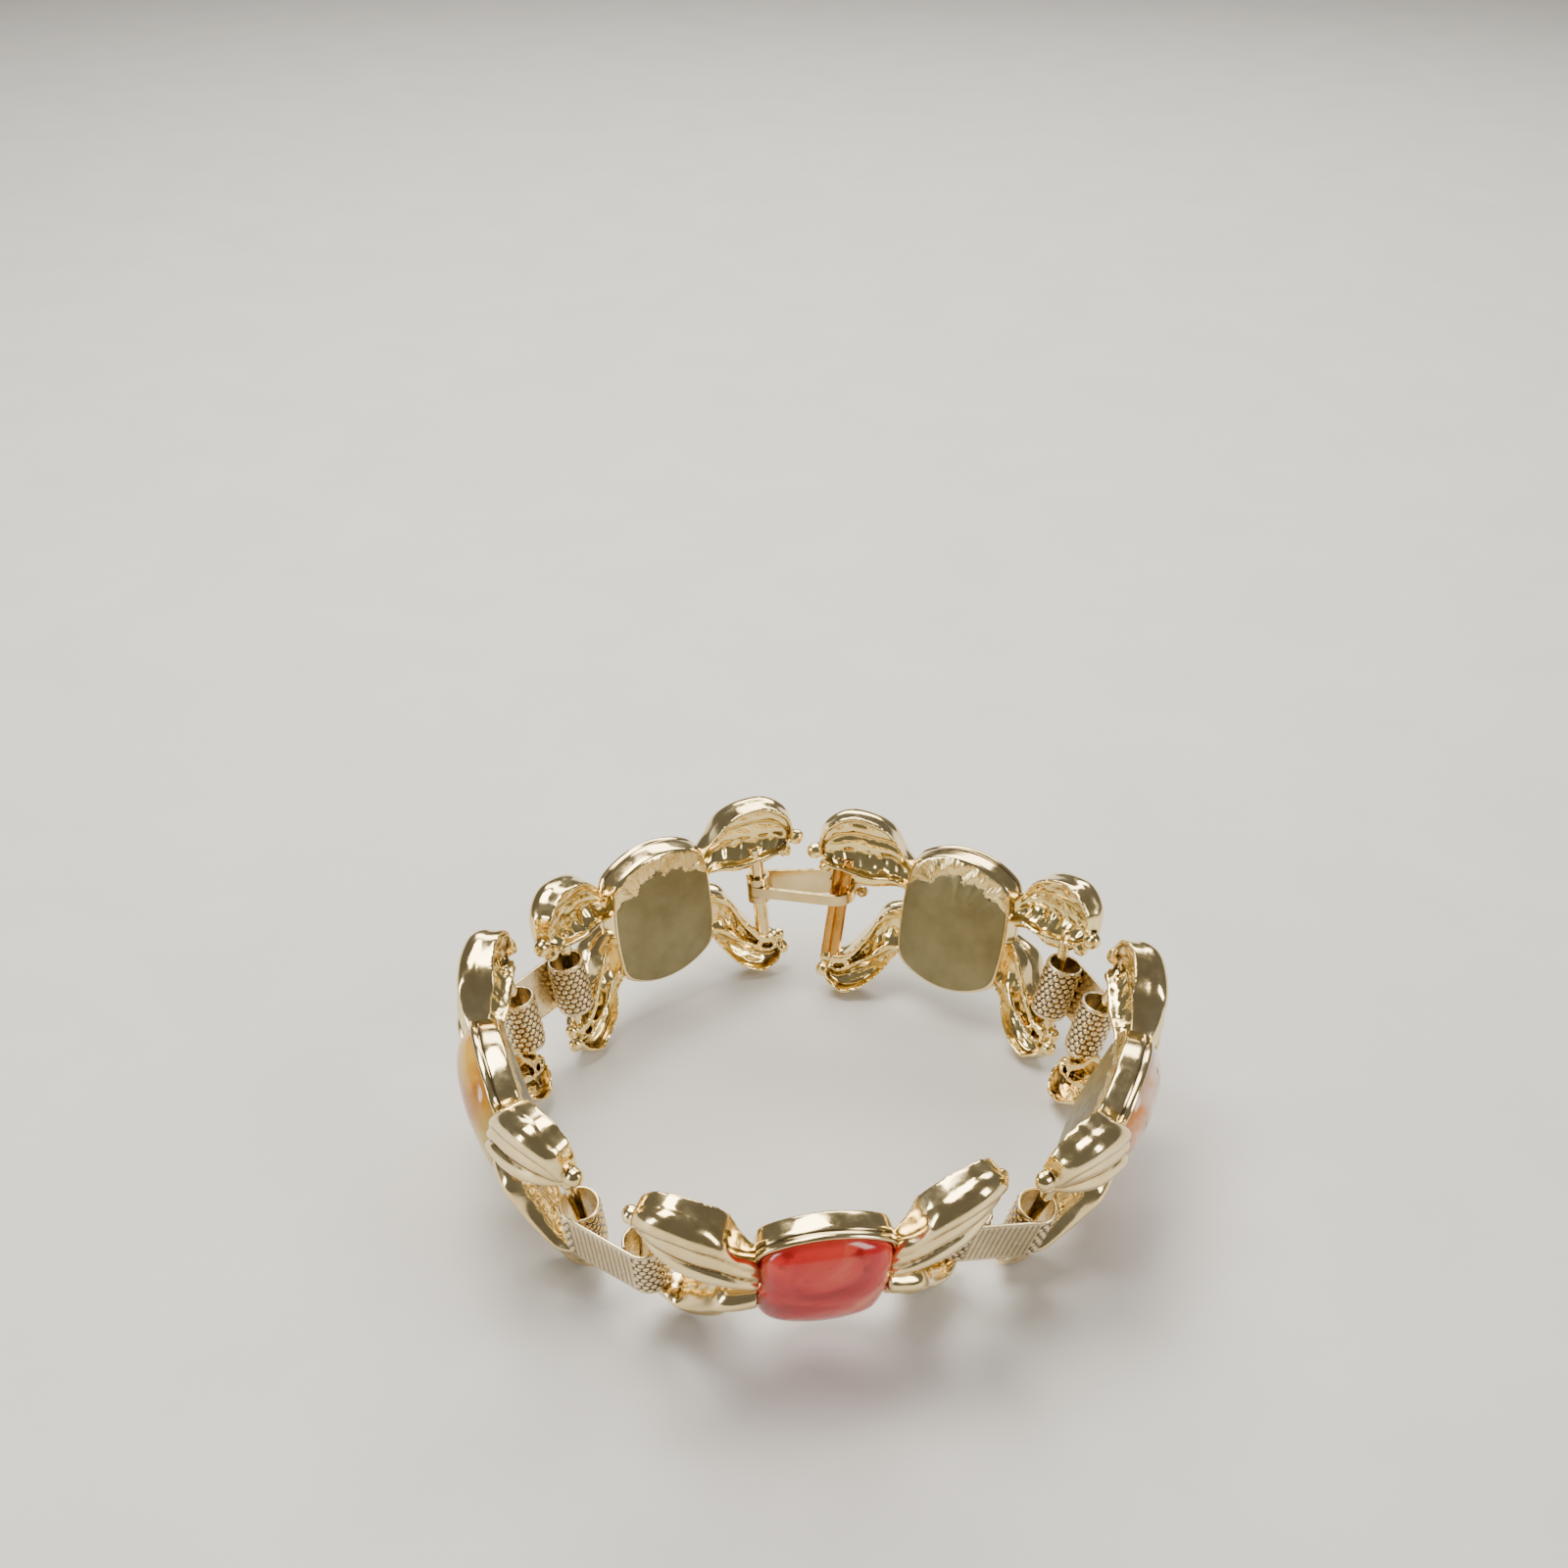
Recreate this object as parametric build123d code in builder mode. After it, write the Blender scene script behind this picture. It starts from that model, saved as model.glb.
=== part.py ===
from build123d import *
from collections import namedtuple
from math import cos, pi, radians, sin, sqrt
import os

os.makedirs("parts", exist_ok=True)

# Chain bracelet, standing on its lower edge as a closed ring, in millimetres.
# The origin is the middle of the wrist hollow on the surface it stands on, with +Z up.
# A panel is modelled in its own frame: x along the ring, y up the panel, z away from the wrist.

# Bezel cup
CUP_HALF_WIDTH = 6.6
CUP_HALF_HEIGHT = 8.2
CUP_CROWN = 2.3
CUP_BELLY = 0.5
CUP_CORNER = 1.0
CUP_FRONT = 0.9
CUP_DEPTH = 2.8
CUP_TAPER_WIDTH = 0.6
CUP_TAPER_HEIGHT = 0.6
RIM_WALL = 0.55

# Stone
STONE_SEAT = 1.2
STONE_GAP = 0.06
GIRDLE_BELOW_RIM = 0.2
DOME_RISE = 3.0

# Back plate
PLATE_THICKNESS = 0.5
PLATE_RECESS = 0.4
PLATE_LIP = 1.3
PLATE_GAP = 0.05

# Scroll arms: reach beyond the cup's side, height and depth that their tables share out
CURVE_RADIUS = 31.0
ARM_REACH = 10.0
ARM_HEIGHT = 10.0
ARM_DEPTH = 2.0
ARM_SHELL_LIP = 0.6
EDGE_ROLL = 0.4
EDGE_TUCK = 0.25
LOBE_BULGE = 0.38
HOLLOW_SHARE = 0.33
ARM_ROOT = 0.3

# Posts between the arms
POST_RADIUS = 0.6
POST_LIFT = 0.1
POST_TOP = 0.4 * ARM_HEIGHT
POST_BOTTOM = -0.79 * ARM_HEIGHT
CATCH_SPREAD = 0.5

# Connectors
ROLL_INNER = 1.6
STRIP_THICKNESS = 0.3
CONNECTOR_HEIGHT = 6.2
CONNECTOR_LEVEL = -3.0
ROLL_OPENING = 34.0

# Clasp: the hinge pin is the post of the left panel, the catch that of the right panel
PIN_RADIUS = 0.8
CLASP_LEVEL = -1.2
KNUCKLE_GAP = 0.1
KNUCKLE_WALL = 0.4
COVER_KNUCKLE = 0.8
COVER_HEIGHT = 3.0
CLASP_STRIP = 0.45
HOOK_INNER = 1.5
HOOK_TAIL = 1.2
COVER_GAP = 0.15
COVER_OVERHANG = 2.2
KNOB_RADIUS = 0.7

# Ring of five panels
PANEL_COUNT = 5
PANEL_GAP = 2.0
PANEL_PITCH = 2 * (CUP_HALF_WIDTH + ARM_REACH) + PANEL_GAP
RING_RADIUS = PANEL_COUNT * PANEL_PITCH / (2 * pi)

# Bearing and radius place a panel's middle, lean tips its top outwards, roll tilts it
# along the ring and turn swings it about the upright. The last columns are how far its
# posts stand beyond the cup. Radius is a share of the ring's, posts of the arm's reach.
Pose = namedtuple("Pose", "name bearing radius lean roll turn post_before post_after")
POSES = [
    Pose("front", -88.5, 0.975, 21.0, -0.9, 6.7, 0.83, 0.70),
    Pose("right", -16.8, 1.05, 19.0, 0.9, -2.2, 0.73, 0.73),
    Pose("back_right", 51.8, 0.95, 15.5, 0.0, 9.0, 0.62, 0.66),
    Pose("back_left", 127.0, 0.975, 7.0, -0.5, -0.5, 0.54, 0.60),
    Pose("left", 195.5, 1.075, 11.0, -1.6, 1.3, 0.76, 0.84),
]

# Dome sections: height and size as shares of the dome's rise and of the girdle
DomeRow = namedtuple("DomeRow", "rise size")
DOME_ROWS = [
    DomeRow(0.0, 1.0),
    DomeRow(0.45, 0.93),
    DomeRow(0.76, 0.75),
    DomeRow(0.94, 0.45),
    DomeRow(1.0, 0.12),
]

# Arm sections from the cup outwards, each from its low edge to its high edge. out is a
# share of the reach beyond the cup's side, v of the arm height, lift and depth of the depth.
ArmRow = namedtuple("ArmRow", "low_out low_v low_lift high_out high_v high_lift depth")
UPPER_ROWS = [
    ArmRow(-0.19, -0.01, 1.40, -0.03, 0.50, 1.00, 1.70),
    ArmRow(-0.05, 0.17, 1.05, 0.09, 0.60, 0.90, 1.50),
    ArmRow(0.14, 0.25, 0.80, 0.25, 0.83, 0.65, 1.30),
    ArmRow(0.37, 0.22, 0.60, 0.47, 0.93, 0.55, 1.20),
    ArmRow(0.56, 0.24, 0.50, 0.72, 0.94, 0.50, 1.10),
    ArmRow(0.72, 0.28, 0.45, 0.91, 0.80, 0.45, 0.95),
    ArmRow(0.83, 0.26, 0.35, 1.00, 0.54, 0.35, 0.75),
]
MIDDLE_ROWS = [
    ArmRow(-0.14, -0.56, 1.10, -0.20, 0.03, 1.45, 1.70),
    ArmRow(0.06, -0.54, 0.90, 0.03, -0.04, 1.10, 1.50),
    ArmRow(0.20, -0.60, 0.70, 0.22, -0.13, 0.80, 1.30),
    ArmRow(0.31, -0.75, 0.55, 0.35, -0.40, 0.65, 1.15),
    ArmRow(0.48, -0.90, 0.45, 0.52, -0.66, 0.50, 1.00),
    ArmRow(0.59, -0.94, 0.40, 0.61, -0.71, 0.45, 0.90),
    ArmRow(0.69, -0.92, 0.35, 0.70, -0.70, 0.35, 0.70),
]
LOWER_ROWS = [
    ArmRow(0.00, -0.64, 0.50, -0.10, -0.42, 0.80, 1.30),
    ArmRow(0.10, -0.84, 0.40, 0.08, -0.52, 0.60, 1.20),
    ArmRow(0.26, -1.05, 0.25, 0.28, -0.66, 0.45, 1.15),
    ArmRow(0.46, -1.16, 0.10, 0.47, -0.80, 0.35, 1.10),
    ArmRow(0.60, -1.12, 0.05, 0.59, -0.88, 0.30, 1.00),
    ArmRow(0.71, -1.03, 0.05, 0.70, -0.80, 0.25, 0.80),
]
UPPER_LOBES = (0.28, 0.32, 0.40)
MIDDLE_LOBES = (0.30, 0.34, 0.36)
LOWER_LOBES = (0.55, 0.45)
ARMS = [
    (UPPER_ROWS, UPPER_LOBES),
    (MIDDLE_ROWS, MIDDLE_LOBES),
    (LOWER_ROWS, LOWER_LOBES),
]

# Knobs at the strand ends, in the same shares
Knob = namedtuple("Knob", "out v lift radius")
KNOBS = [
    Knob(0.95, 0.45, 0.0, 0.45),
    Knob(0.83, 0.30, 0.0, 0.40),
    Knob(0.70, -0.94, -0.1, 0.42),
    Knob(0.70, -0.79, 0.1, 0.375),
]


def wrist_curve(u):
    """Height of the wrist curve at a distance u along the panel, 0 at its middle."""
    return sqrt(CURVE_RADIUS**2 - u**2) - CURVE_RADIUS


def barrel(half_width, half_height, share=1.0):
    """Outline with bowed ends and slightly bowed sides, rounded at its corners."""
    side = (half_width - CUP_BELLY) * share
    end = (half_height - CUP_CROWN) * share
    wide = half_width * share
    tall = half_height * share
    with BuildSketch() as outline:
        with BuildLine():
            ThreePointArc((-side, end), (0, tall), (side, end))
            ThreePointArc((side, end), (wide, 0), (side, -end))
            ThreePointArc((side, -end), (0, -tall), (-side, -end))
            ThreePointArc((-side, -end), (-wide, 0), (-side, end))
        make_face()
        fillet(outline.vertices(), CUP_CORNER * share)
    return outline.sketch


def stone_form(margin):
    """The domed stone, grown by a margin for the pocket that holds it."""
    half_width = CUP_HALF_WIDTH - RIM_WALL - STONE_GAP + margin
    half_height = CUP_HALF_HEIGHT - RIM_WALL - STONE_GAP + margin
    seat = CUP_FRONT - STONE_SEAT - margin
    girdle = CUP_FRONT - GIRDLE_BELOW_RIM + margin
    with BuildPart() as slab:
        with BuildSketch(Plane.XY.offset(seat)):
            add(barrel(half_width, half_height))
        extrude(amount=girdle - seat)
    with BuildPart() as form:
        for row in DOME_ROWS:
            with BuildSketch(Plane.XY.offset(girdle + row.rise * DOME_RISE)):
                add(barrel(half_width, half_height, row.size))
        loft()
        add(slab.part)
    return form.part


def plate_form(margin):
    """The back plate, grown by a margin for the recess that holds it."""
    half_width = CUP_HALF_WIDTH - CUP_TAPER_WIDTH - PLATE_LIP - PLATE_GAP + margin
    half_height = CUP_HALF_HEIGHT - CUP_TAPER_HEIGHT - PLATE_LIP - PLATE_GAP + margin
    outer_face = CUP_FRONT - CUP_DEPTH + PLATE_RECESS
    with BuildPart() as form:
        with BuildSketch(Plane.XY.offset(outer_face)):
            add(barrel(half_width, half_height))
        extrude(amount=PLATE_THICKNESS + margin)
    return form.part


def arm_point(out, v, lift):
    """Place on the panel from the shares of the arm tables."""
    u = CUP_HALF_WIDTH + out * ARM_REACH
    return Vector(u, v * ARM_HEIGHT, wrist_curve(u) + lift * ARM_DEPTH)


def arm_plane(row):
    """Plane of an arm section: x from its low to its high edge, y away from the wrist."""
    low = arm_point(row.low_out, row.low_v, row.low_lift)
    high = arm_point(row.high_out, row.high_v, row.high_lift)
    middle = (low + high) * 0.5
    across = (high - low).normalized()
    outward = Vector(middle.X / CURVE_RADIUS, 0, 1)
    normal = across.cross(outward).normalized()
    return Plane(origin=middle, x_dir=across, z_dir=normal), (high - low).length


def arm_section(width, depth, lobes):
    """Fluted front whose outer strands roll over the edges, and a hollow back."""
    half = width / 2
    roll = EDGE_ROLL * depth
    foot = half - EDGE_TUCK
    lip = foot - ARM_SHELL_LIP
    starts = [(-half, -roll)]
    crests = []
    reach = -half
    for share in lobes:
        chord = share * width
        crests.append((reach + chord / 2, LOBE_BULGE * chord))
        reach += chord
        starts.append((reach, 0))
    starts[-1] = (half, -roll)
    with BuildSketch() as section:
        with BuildLine():
            for crest, start, end in zip(crests, starts, starts[1:]):
                ThreePointArc(start, crest, end)
            Line((half, -roll), (foot, -depth))
            Line((foot, -depth), (lip, -depth))
            ThreePointArc((lip, -depth), (0, -depth + HOLLOW_SHARE * 2 * lip), (-lip, -depth))
            Line((-lip, -depth), (-foot, -depth))
            Line((-foot, -depth), (-half, -roll))
        make_face()
    return section.sketch


def arm(rows, lobes):
    """One scroll arm through its sections."""
    with BuildPart() as form:
        for row in rows:
            plane, width = arm_plane(row)
            with BuildSketch(plane):
                add(arm_section(width, row.depth * ARM_DEPTH, lobes))
        loft()
    return form.part


def post_centre(share, side):
    """Place of a post in the panel's level section: along the panel and off the wrist."""
    u = side * (CUP_HALF_WIDTH + share * ARM_REACH)
    return (u, wrist_curve(u) + POST_LIFT)


def post(share, side, radius, spread=0.0):
    """Upright post between the arms, of one strand or of two that stand side by side."""
    along, off = post_centre(share, side)
    with BuildPart() as form:
        with BuildSketch(Plane.XZ.offset(-POST_BOTTOM)):
            with Locations((along - spread, off), (along + spread, off)):
                Circle(radius)
        extrude(amount=-(POST_TOP - POST_BOTTOM))
    return form.part


def cup_form(inset, above):
    """The tapered cup, shrunk by an inset and carried on above its rim."""
    back = CUP_FRONT - CUP_DEPTH
    slope_width = CUP_TAPER_WIDTH / CUP_DEPTH
    slope_height = CUP_TAPER_HEIGHT / CUP_DEPTH
    with BuildPart() as form:
        for level in (back - above, CUP_FRONT + above):
            wide = CUP_HALF_WIDTH - slope_width * (CUP_FRONT - level) - inset
            tall = CUP_HALF_HEIGHT - slope_height * (CUP_FRONT - level) - inset
            with BuildSketch(Plane.XY.offset(level)):
                add(barrel(wide, tall))
        loft()
    return form.part


# The cup with its pockets for the stone and the plate
with BuildPart() as cup:
    add(cup_form(0, 0))
    add(stone_form(STONE_GAP), mode=Mode.SUBTRACT)
    add(plate_form(PLATE_GAP), mode=Mode.SUBTRACT)

# The scroll arms, made on one side, ended inside the cup's wall and mirrored
with BuildPart() as arms:
    for rows, lobes in ARMS:
        add(arm(rows, lobes))
    for knob in KNOBS:
        with Locations(arm_point(knob.out, knob.v, knob.lift)):
            Sphere(knob.radius * ARM_DEPTH)
    add(cup_form(ARM_ROOT, ARM_DEPTH * 2), mode=Mode.SUBTRACT)
    mirror(about=Plane.YZ)

with BuildPart() as casting:
    add(cup.part)
    add(arms.part)

stone_shape = stone_form(0)
plate_shape = plate_form(0)


def facing(pose):
    """Orientation and plan place of a panel, before it is set down on the surface."""
    turn = radians(pose.bearing + pose.turn)
    bearing = radians(pose.bearing)
    lean = radians(pose.lean)
    roll = radians(pose.roll)
    along = Vector(-sin(turn), cos(turn), 0)
    outward = Vector(cos(turn), sin(turn), 0)
    rise = Vector(0, 0, 1) * cos(lean) + outward * sin(lean)
    face = outward * cos(lean) - Vector(0, 0, 1) * sin(lean)
    x_dir = along * cos(roll) + rise * sin(roll)
    radius = pose.radius * RING_RADIUS
    centre = Vector(radius * cos(bearing), radius * sin(bearing), 0)
    return Plane(origin=centre, x_dir=x_dir, z_dir=face)


def seated(pose):
    """Plane of a panel whose lowest point touches the surface."""
    plane = facing(pose)
    lowest = casting.part.moved(plane.location).bounding_box().min.Z
    return Plane(origin=plane.origin - Vector(0, 0, lowest), x_dir=plane.x_dir, z_dir=plane.z_dir)


by_name = {pose.name: pose for pose in POSES}
planes = {pose.name: seated(pose) for pose in POSES}


def post_point(name, side, level):
    """Place of a panel's post axis, before (-1) or after (1) its cup, at a height."""
    pose = by_name[name]
    along, off = post_centre(pose.post_before if side < 0 else pose.post_after, side)
    return planes[name].from_local_coords(Vector(along, level, off))


def panel_posts(pose):
    """The two posts of a panel, as the clasp or the connectors need them."""
    pin = PIN_RADIUS if pose.name == "back_left" else POST_RADIUS
    spread = CATCH_SPREAD if pose.name == "back_right" else 0.0
    before = post(pose.post_before, -1, pin)
    return before, post(pose.post_after, 1, POST_RADIUS, spread)


for pose in POSES:
    place = planes[pose.name].location
    with BuildPart() as setting:
        with Locations(place):
            add(casting.part)
            for upright in panel_posts(pose):
                add(upright)
    setting.part.label = "setting_" + pose.name
    export_step(setting.part, "parts/setting_" + pose.name + ".step")

    with BuildPart() as stone:
        with Locations(place):
            add(stone_shape)
    stone.part.label = "stone_" + pose.name
    export_step(stone.part, "parts/stone_" + pose.name + ".step")

    with BuildPart() as plate:
        with Locations(place):
            add(plate_shape)
    plate.part.label = "back_plate_" + pose.name
    export_step(plate.part, "parts/back_plate_" + pose.name + ".step")


def roll_section(centre, side):
    """One end of a connector: a tube rolled inwards, open by a slot beside the strip."""
    outer = ROLL_INNER + STRIP_THICKNESS
    slot = radians(ROLL_OPENING)
    reach = 2 * outer
    with BuildSketch() as section:
        with Locations((centre, 0)):
            Circle(outer)
            Circle(ROLL_INNER, mode=Mode.SUBTRACT)
        with BuildLine():
            Polyline(
                (centre, 0),
                (centre, -reach),
                (centre - side * reach * sin(slot), -reach * cos(slot)),
                (centre, 0),
            )
        make_face(mode=Mode.SUBTRACT)
    return section.sketch


def connector(before, after):
    """Strip between two posts, outside them, with an end rolled round each."""
    start = post_point(before, 1, CONNECTOR_LEVEL)
    end = post_point(after, -1, CONNECTOR_LEVEL)
    upright = (planes[before].y_dir + planes[after].y_dir).normalized()
    along = end - start
    along = along - upright * along.dot(upright)
    half_span = along.length / 2
    middle = (start + end) * 0.5 - upright * (CONNECTOR_HEIGHT / 2)
    plane = Plane(origin=middle, x_dir=along.normalized(), z_dir=upright)
    strip_middle = -(ROLL_INNER + STRIP_THICKNESS / 2)
    with BuildPart() as form:
        with BuildSketch(plane):
            add(roll_section(-half_span, -1))
            add(roll_section(half_span, 1))
            with Locations((0, strip_middle)):
                Rectangle(2 * half_span, STRIP_THICKNESS)
        extrude(amount=CONNECTOR_HEIGHT)
    return form.part


LINKS = [
    ("front", "right"),
    ("right", "back_right"),
    ("back_left", "left"),
    ("left", "front"),
]
for first, second in LINKS:
    with BuildPart() as link:
        add(connector(first, second))
    link.part.label = "connector_" + first + "_" + second
    export_step(link.part, "parts/connector_" + first + "_" + second + ".step")

# The clasp, modelled with its hinge axis as z, x towards the catch and y outwards
hinge = post_point("back_left", -1, CLASP_LEVEL)
catch = post_point("back_right", 1, CLASP_LEVEL)
hinge_axis = planes["back_left"].y_dir
reach = catch - hinge
reach = reach - hinge_axis * reach.dot(hinge_axis)
clasp_plane = Plane(origin=hinge, x_dir=reach.normalized(), z_dir=hinge_axis)
catch_out = reach.length
knuckle_inner = PIN_RADIUS + KNUCKLE_GAP
knuckle_outer = knuckle_inner + KNUCKLE_WALL
tongue_height = COVER_HEIGHT - 2 * (COVER_KNUCKLE + KNUCKLE_GAP)
strip_start = knuckle_outer - CLASP_STRIP / 2
hook_middle = HOOK_INNER + CLASP_STRIP / 2
cover_pass = HOOK_INNER + CLASP_STRIP + COVER_GAP + CLASP_STRIP / 2


def tube(radius_out, radius_in, low, high):
    """Upright tube on the hinge axis between two heights."""
    with BuildPart() as form:
        with BuildSketch(Plane.XY.offset(low)):
            Circle(radius_out)
            if radius_in:
                Circle(radius_in, mode=Mode.SUBTRACT)
        extrude(amount=high - low)
    return form.part


def band(start, end, height):
    """Upright flat strip from one plan point to another, centred on its height."""
    half = CLASP_STRIP / 2
    with BuildPart() as form:
        with BuildSketch(Plane.XY.offset(-height / 2)):
            with BuildLine():
                Polyline(
                    (start[0], start[1] - half),
                    (end[0], end[1] - half),
                    (end[0], end[1] + half),
                    (start[0], start[1] + half),
                    (start[0], start[1] - half),
                )
            make_face()
        extrude(amount=height)
    return form.part


def hook_form():
    """Half ring round the catch with a short return outside it."""
    with BuildPart() as form:
        with BuildSketch(Plane.XY.offset(-tongue_height / 2)):
            with Locations((catch_out, 0)):
                Circle(HOOK_INNER + CLASP_STRIP)
                Circle(HOOK_INNER, mode=Mode.SUBTRACT)
            with Locations((catch_out - HOOK_INNER - CLASP_STRIP, 0)):
                Rectangle(
                    2 * (HOOK_INNER + CLASP_STRIP),
                    2 * (HOOK_INNER + CLASP_STRIP),
                    mode=Mode.SUBTRACT,
                )
            with Locations((catch_out - HOOK_TAIL / 2, hook_middle)):
                Rectangle(HOOK_TAIL, CLASP_STRIP)
        extrude(amount=tongue_height)
    return form.part


cover_half = COVER_HEIGHT / 2
tongue_half = tongue_height / 2
clear_of_knuckles = knuckle_outer + KNUCKLE_GAP

with BuildPart() as tongue_body:
    add(band((0, -strip_start), (catch_out, -hook_middle), tongue_height))
    add(hook_form())
    add(tube(knuckle_outer, 0, -tongue_half, tongue_half))
    add(tube(knuckle_inner, 0, -tongue_half, tongue_half), mode=Mode.SUBTRACT)

cover_bend = (catch_out - HOOK_TAIL, cover_pass)
cover_end = (catch_out + COVER_OVERHANG, cover_pass)
with BuildPart() as cover_body:
    add(band((0, strip_start), cover_bend, COVER_HEIGHT))
    add(band(cover_bend, cover_end, COVER_HEIGHT))
    with Locations((cover_end[0], cover_end[1], KNOB_RADIUS / 2 - cover_half)):
        Sphere(KNOB_RADIUS)
    add(tube(knuckle_outer, 0, -cover_half, cover_half))
    add(tube(knuckle_inner, 0, -cover_half, cover_half), mode=Mode.SUBTRACT)
    gap_half = tongue_half + KNUCKLE_GAP
    add(tube(clear_of_knuckles, 0, -gap_half, gap_half), mode=Mode.SUBTRACT)

with BuildPart() as clasp_tongue:
    with Locations(clasp_plane.location):
        add(tongue_body.part)
clasp_tongue.part.label = "clasp_tongue"
export_step(clasp_tongue.part, "parts/clasp_tongue.step")

with BuildPart() as clasp_cover:
    with Locations(clasp_plane.location):
        add(cover_body.part)
clasp_cover.part.label = "clasp_cover"
export_step(clasp_cover.part, "parts/clasp_cover.step")
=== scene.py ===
from collections import namedtuple
from math import cos, pi, radians, sin, sqrt

import bmesh
import bpy
import numpy as np
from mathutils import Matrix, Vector


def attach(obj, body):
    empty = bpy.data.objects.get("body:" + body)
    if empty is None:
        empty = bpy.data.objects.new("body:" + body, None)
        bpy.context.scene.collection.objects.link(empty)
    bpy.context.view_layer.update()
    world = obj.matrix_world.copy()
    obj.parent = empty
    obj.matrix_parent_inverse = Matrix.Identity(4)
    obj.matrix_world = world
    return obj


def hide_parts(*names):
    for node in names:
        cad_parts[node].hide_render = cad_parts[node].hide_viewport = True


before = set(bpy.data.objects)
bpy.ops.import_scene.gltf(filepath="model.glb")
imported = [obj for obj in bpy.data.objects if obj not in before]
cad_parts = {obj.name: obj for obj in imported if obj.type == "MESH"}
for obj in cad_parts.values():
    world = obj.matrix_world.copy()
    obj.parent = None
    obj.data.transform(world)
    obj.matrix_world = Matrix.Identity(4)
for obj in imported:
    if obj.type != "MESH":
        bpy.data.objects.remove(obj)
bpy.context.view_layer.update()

# Chain bracelet standing on its lower edge. Lengths are millimetres up to where the pieces are
# placed. A panel's own frame has u along the ring, v up the panel and w away from the wrist.
MM = 0.001

# Ring of five panels. Radius is a share of the ring's radius and the posts stand beyond the
# cup by shares of the arm's reach. Height is that of a panel's middle above the surface.
Panel = namedtuple("Panel", "name bearing radius height lean roll turn post_before post_after")
PANELS = [
    Panel("front", -88.5, 0.975, 10.4249, 21.0, -0.9, 6.7, 0.83, 0.70),
    Panel("right", -16.8, 1.05, 10.6190, 19.0, 0.9, -2.2, 0.73, 0.73),
    Panel("back_right", 51.8, 0.95, 10.7664, 15.5, 0.0, 9.0, 0.62, 0.66),
    Panel("back_left", 127.0, 0.975, 11.4694, 7.0, -0.5, -0.5, 0.54, 0.60),
    Panel("left", 195.5, 1.075, 11.4144, 11.0, -1.6, 1.3, 0.76, 0.84),
]
LINKS = [
    ("front", "right"),
    ("right", "back_right"),
    ("back_left", "left"),
    ("left", "front"),
]

# Bezel cup
CUP_HALF_WIDTH = 6.6
CUP_HALF_HEIGHT = 8.2
CUP_CROWN = 2.3
CUP_BELLY = 0.5
CUP_CORNER = 1.0
CUP_FRONT = 0.9
CUP_DEPTH = 2.8
CUP_TAPER = 0.6
CORE_BELOW = 5
CORE_ABOVE = 6
CORE_TAPER_ABOVE = 1.5

# Plate on the cup's back: its dome, how far it stands off the lip, and how far it ends short
# of the cup's outline round about and along the top
PLATE_DOME = 0.25
PLATE_STAND = 0.05
PLATE_SUNK = 0.45
PLATE_INSET = 0.12
PLATE_TOP_GAP = 1.9
PLATE_TOP_WAVE = 0.55
PLATE_TOP_FROM = 0.38
PLATE_TOP_RUN = 0.30

# Stone
STONE_INSET = 0.61
STONE_BASE = -0.3
GIRDLE = 0.7
DOME_RISE = 3.0
DOME_POWER = 2.8

# Arms: their tables hold shares of the reach beyond the cup, of the height and of the depth
CURVE_RADIUS = 31.0
ARM_REACH = 10.0
ARM_HEIGHT = 10.0
ARM_DEPTH = 2.0
PANEL_GAP = 2.0
RING_RADIUS = 5 * (2 * (CUP_HALF_WIDTH + ARM_REACH) + PANEL_GAP) / (2 * pi)
ArmRow = namedtuple("ArmRow", "low_out low_v low_lift high_out high_v high_lift depth")
UPPER_ROWS = [
    ArmRow(-0.19, -0.01, 1.40, -0.03, 0.50, 1.00, 1.70),
    ArmRow(-0.05, 0.17, 1.05, 0.09, 0.60, 0.90, 1.50),
    ArmRow(0.14, 0.25, 0.80, 0.25, 0.83, 0.65, 1.30),
    ArmRow(0.37, 0.22, 0.60, 0.47, 0.93, 0.55, 1.20),
    ArmRow(0.56, 0.24, 0.50, 0.72, 0.94, 0.50, 1.10),
    ArmRow(0.72, 0.28, 0.45, 0.91, 0.80, 0.45, 0.95),
    ArmRow(0.83, 0.26, 0.35, 1.00, 0.54, 0.35, 0.75),
]
MIDDLE_ROWS = [
    ArmRow(-0.14, -0.56, 1.10, -0.20, 0.03, 1.45, 1.70),
    ArmRow(0.06, -0.54, 0.90, 0.03, -0.04, 1.10, 1.50),
    ArmRow(0.20, -0.60, 0.70, 0.22, -0.13, 0.80, 1.30),
    ArmRow(0.31, -0.75, 0.55, 0.35, -0.40, 0.65, 1.15),
    ArmRow(0.48, -0.90, 0.45, 0.52, -0.66, 0.50, 1.00),
    ArmRow(0.59, -0.94, 0.40, 0.61, -0.71, 0.45, 0.90),
    ArmRow(0.69, -0.92, 0.35, 0.70, -0.70, 0.35, 0.70),
]
LOWER_ROWS = [
    ArmRow(0.00, -0.64, 0.50, -0.10, -0.42, 0.80, 1.30),
    ArmRow(0.10, -0.84, 0.40, 0.08, -0.52, 0.60, 1.20),
    ArmRow(0.26, -1.05, 0.25, 0.28, -0.66, 0.45, 1.15),
    ArmRow(0.46, -1.16, 0.10, 0.47, -0.80, 0.35, 1.10),
    ArmRow(0.60, -1.12, 0.05, 0.59, -0.88, 0.30, 1.00),
    ArmRow(0.71, -1.03, 0.05, 0.70, -0.80, 0.25, 0.80),
]

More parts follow.
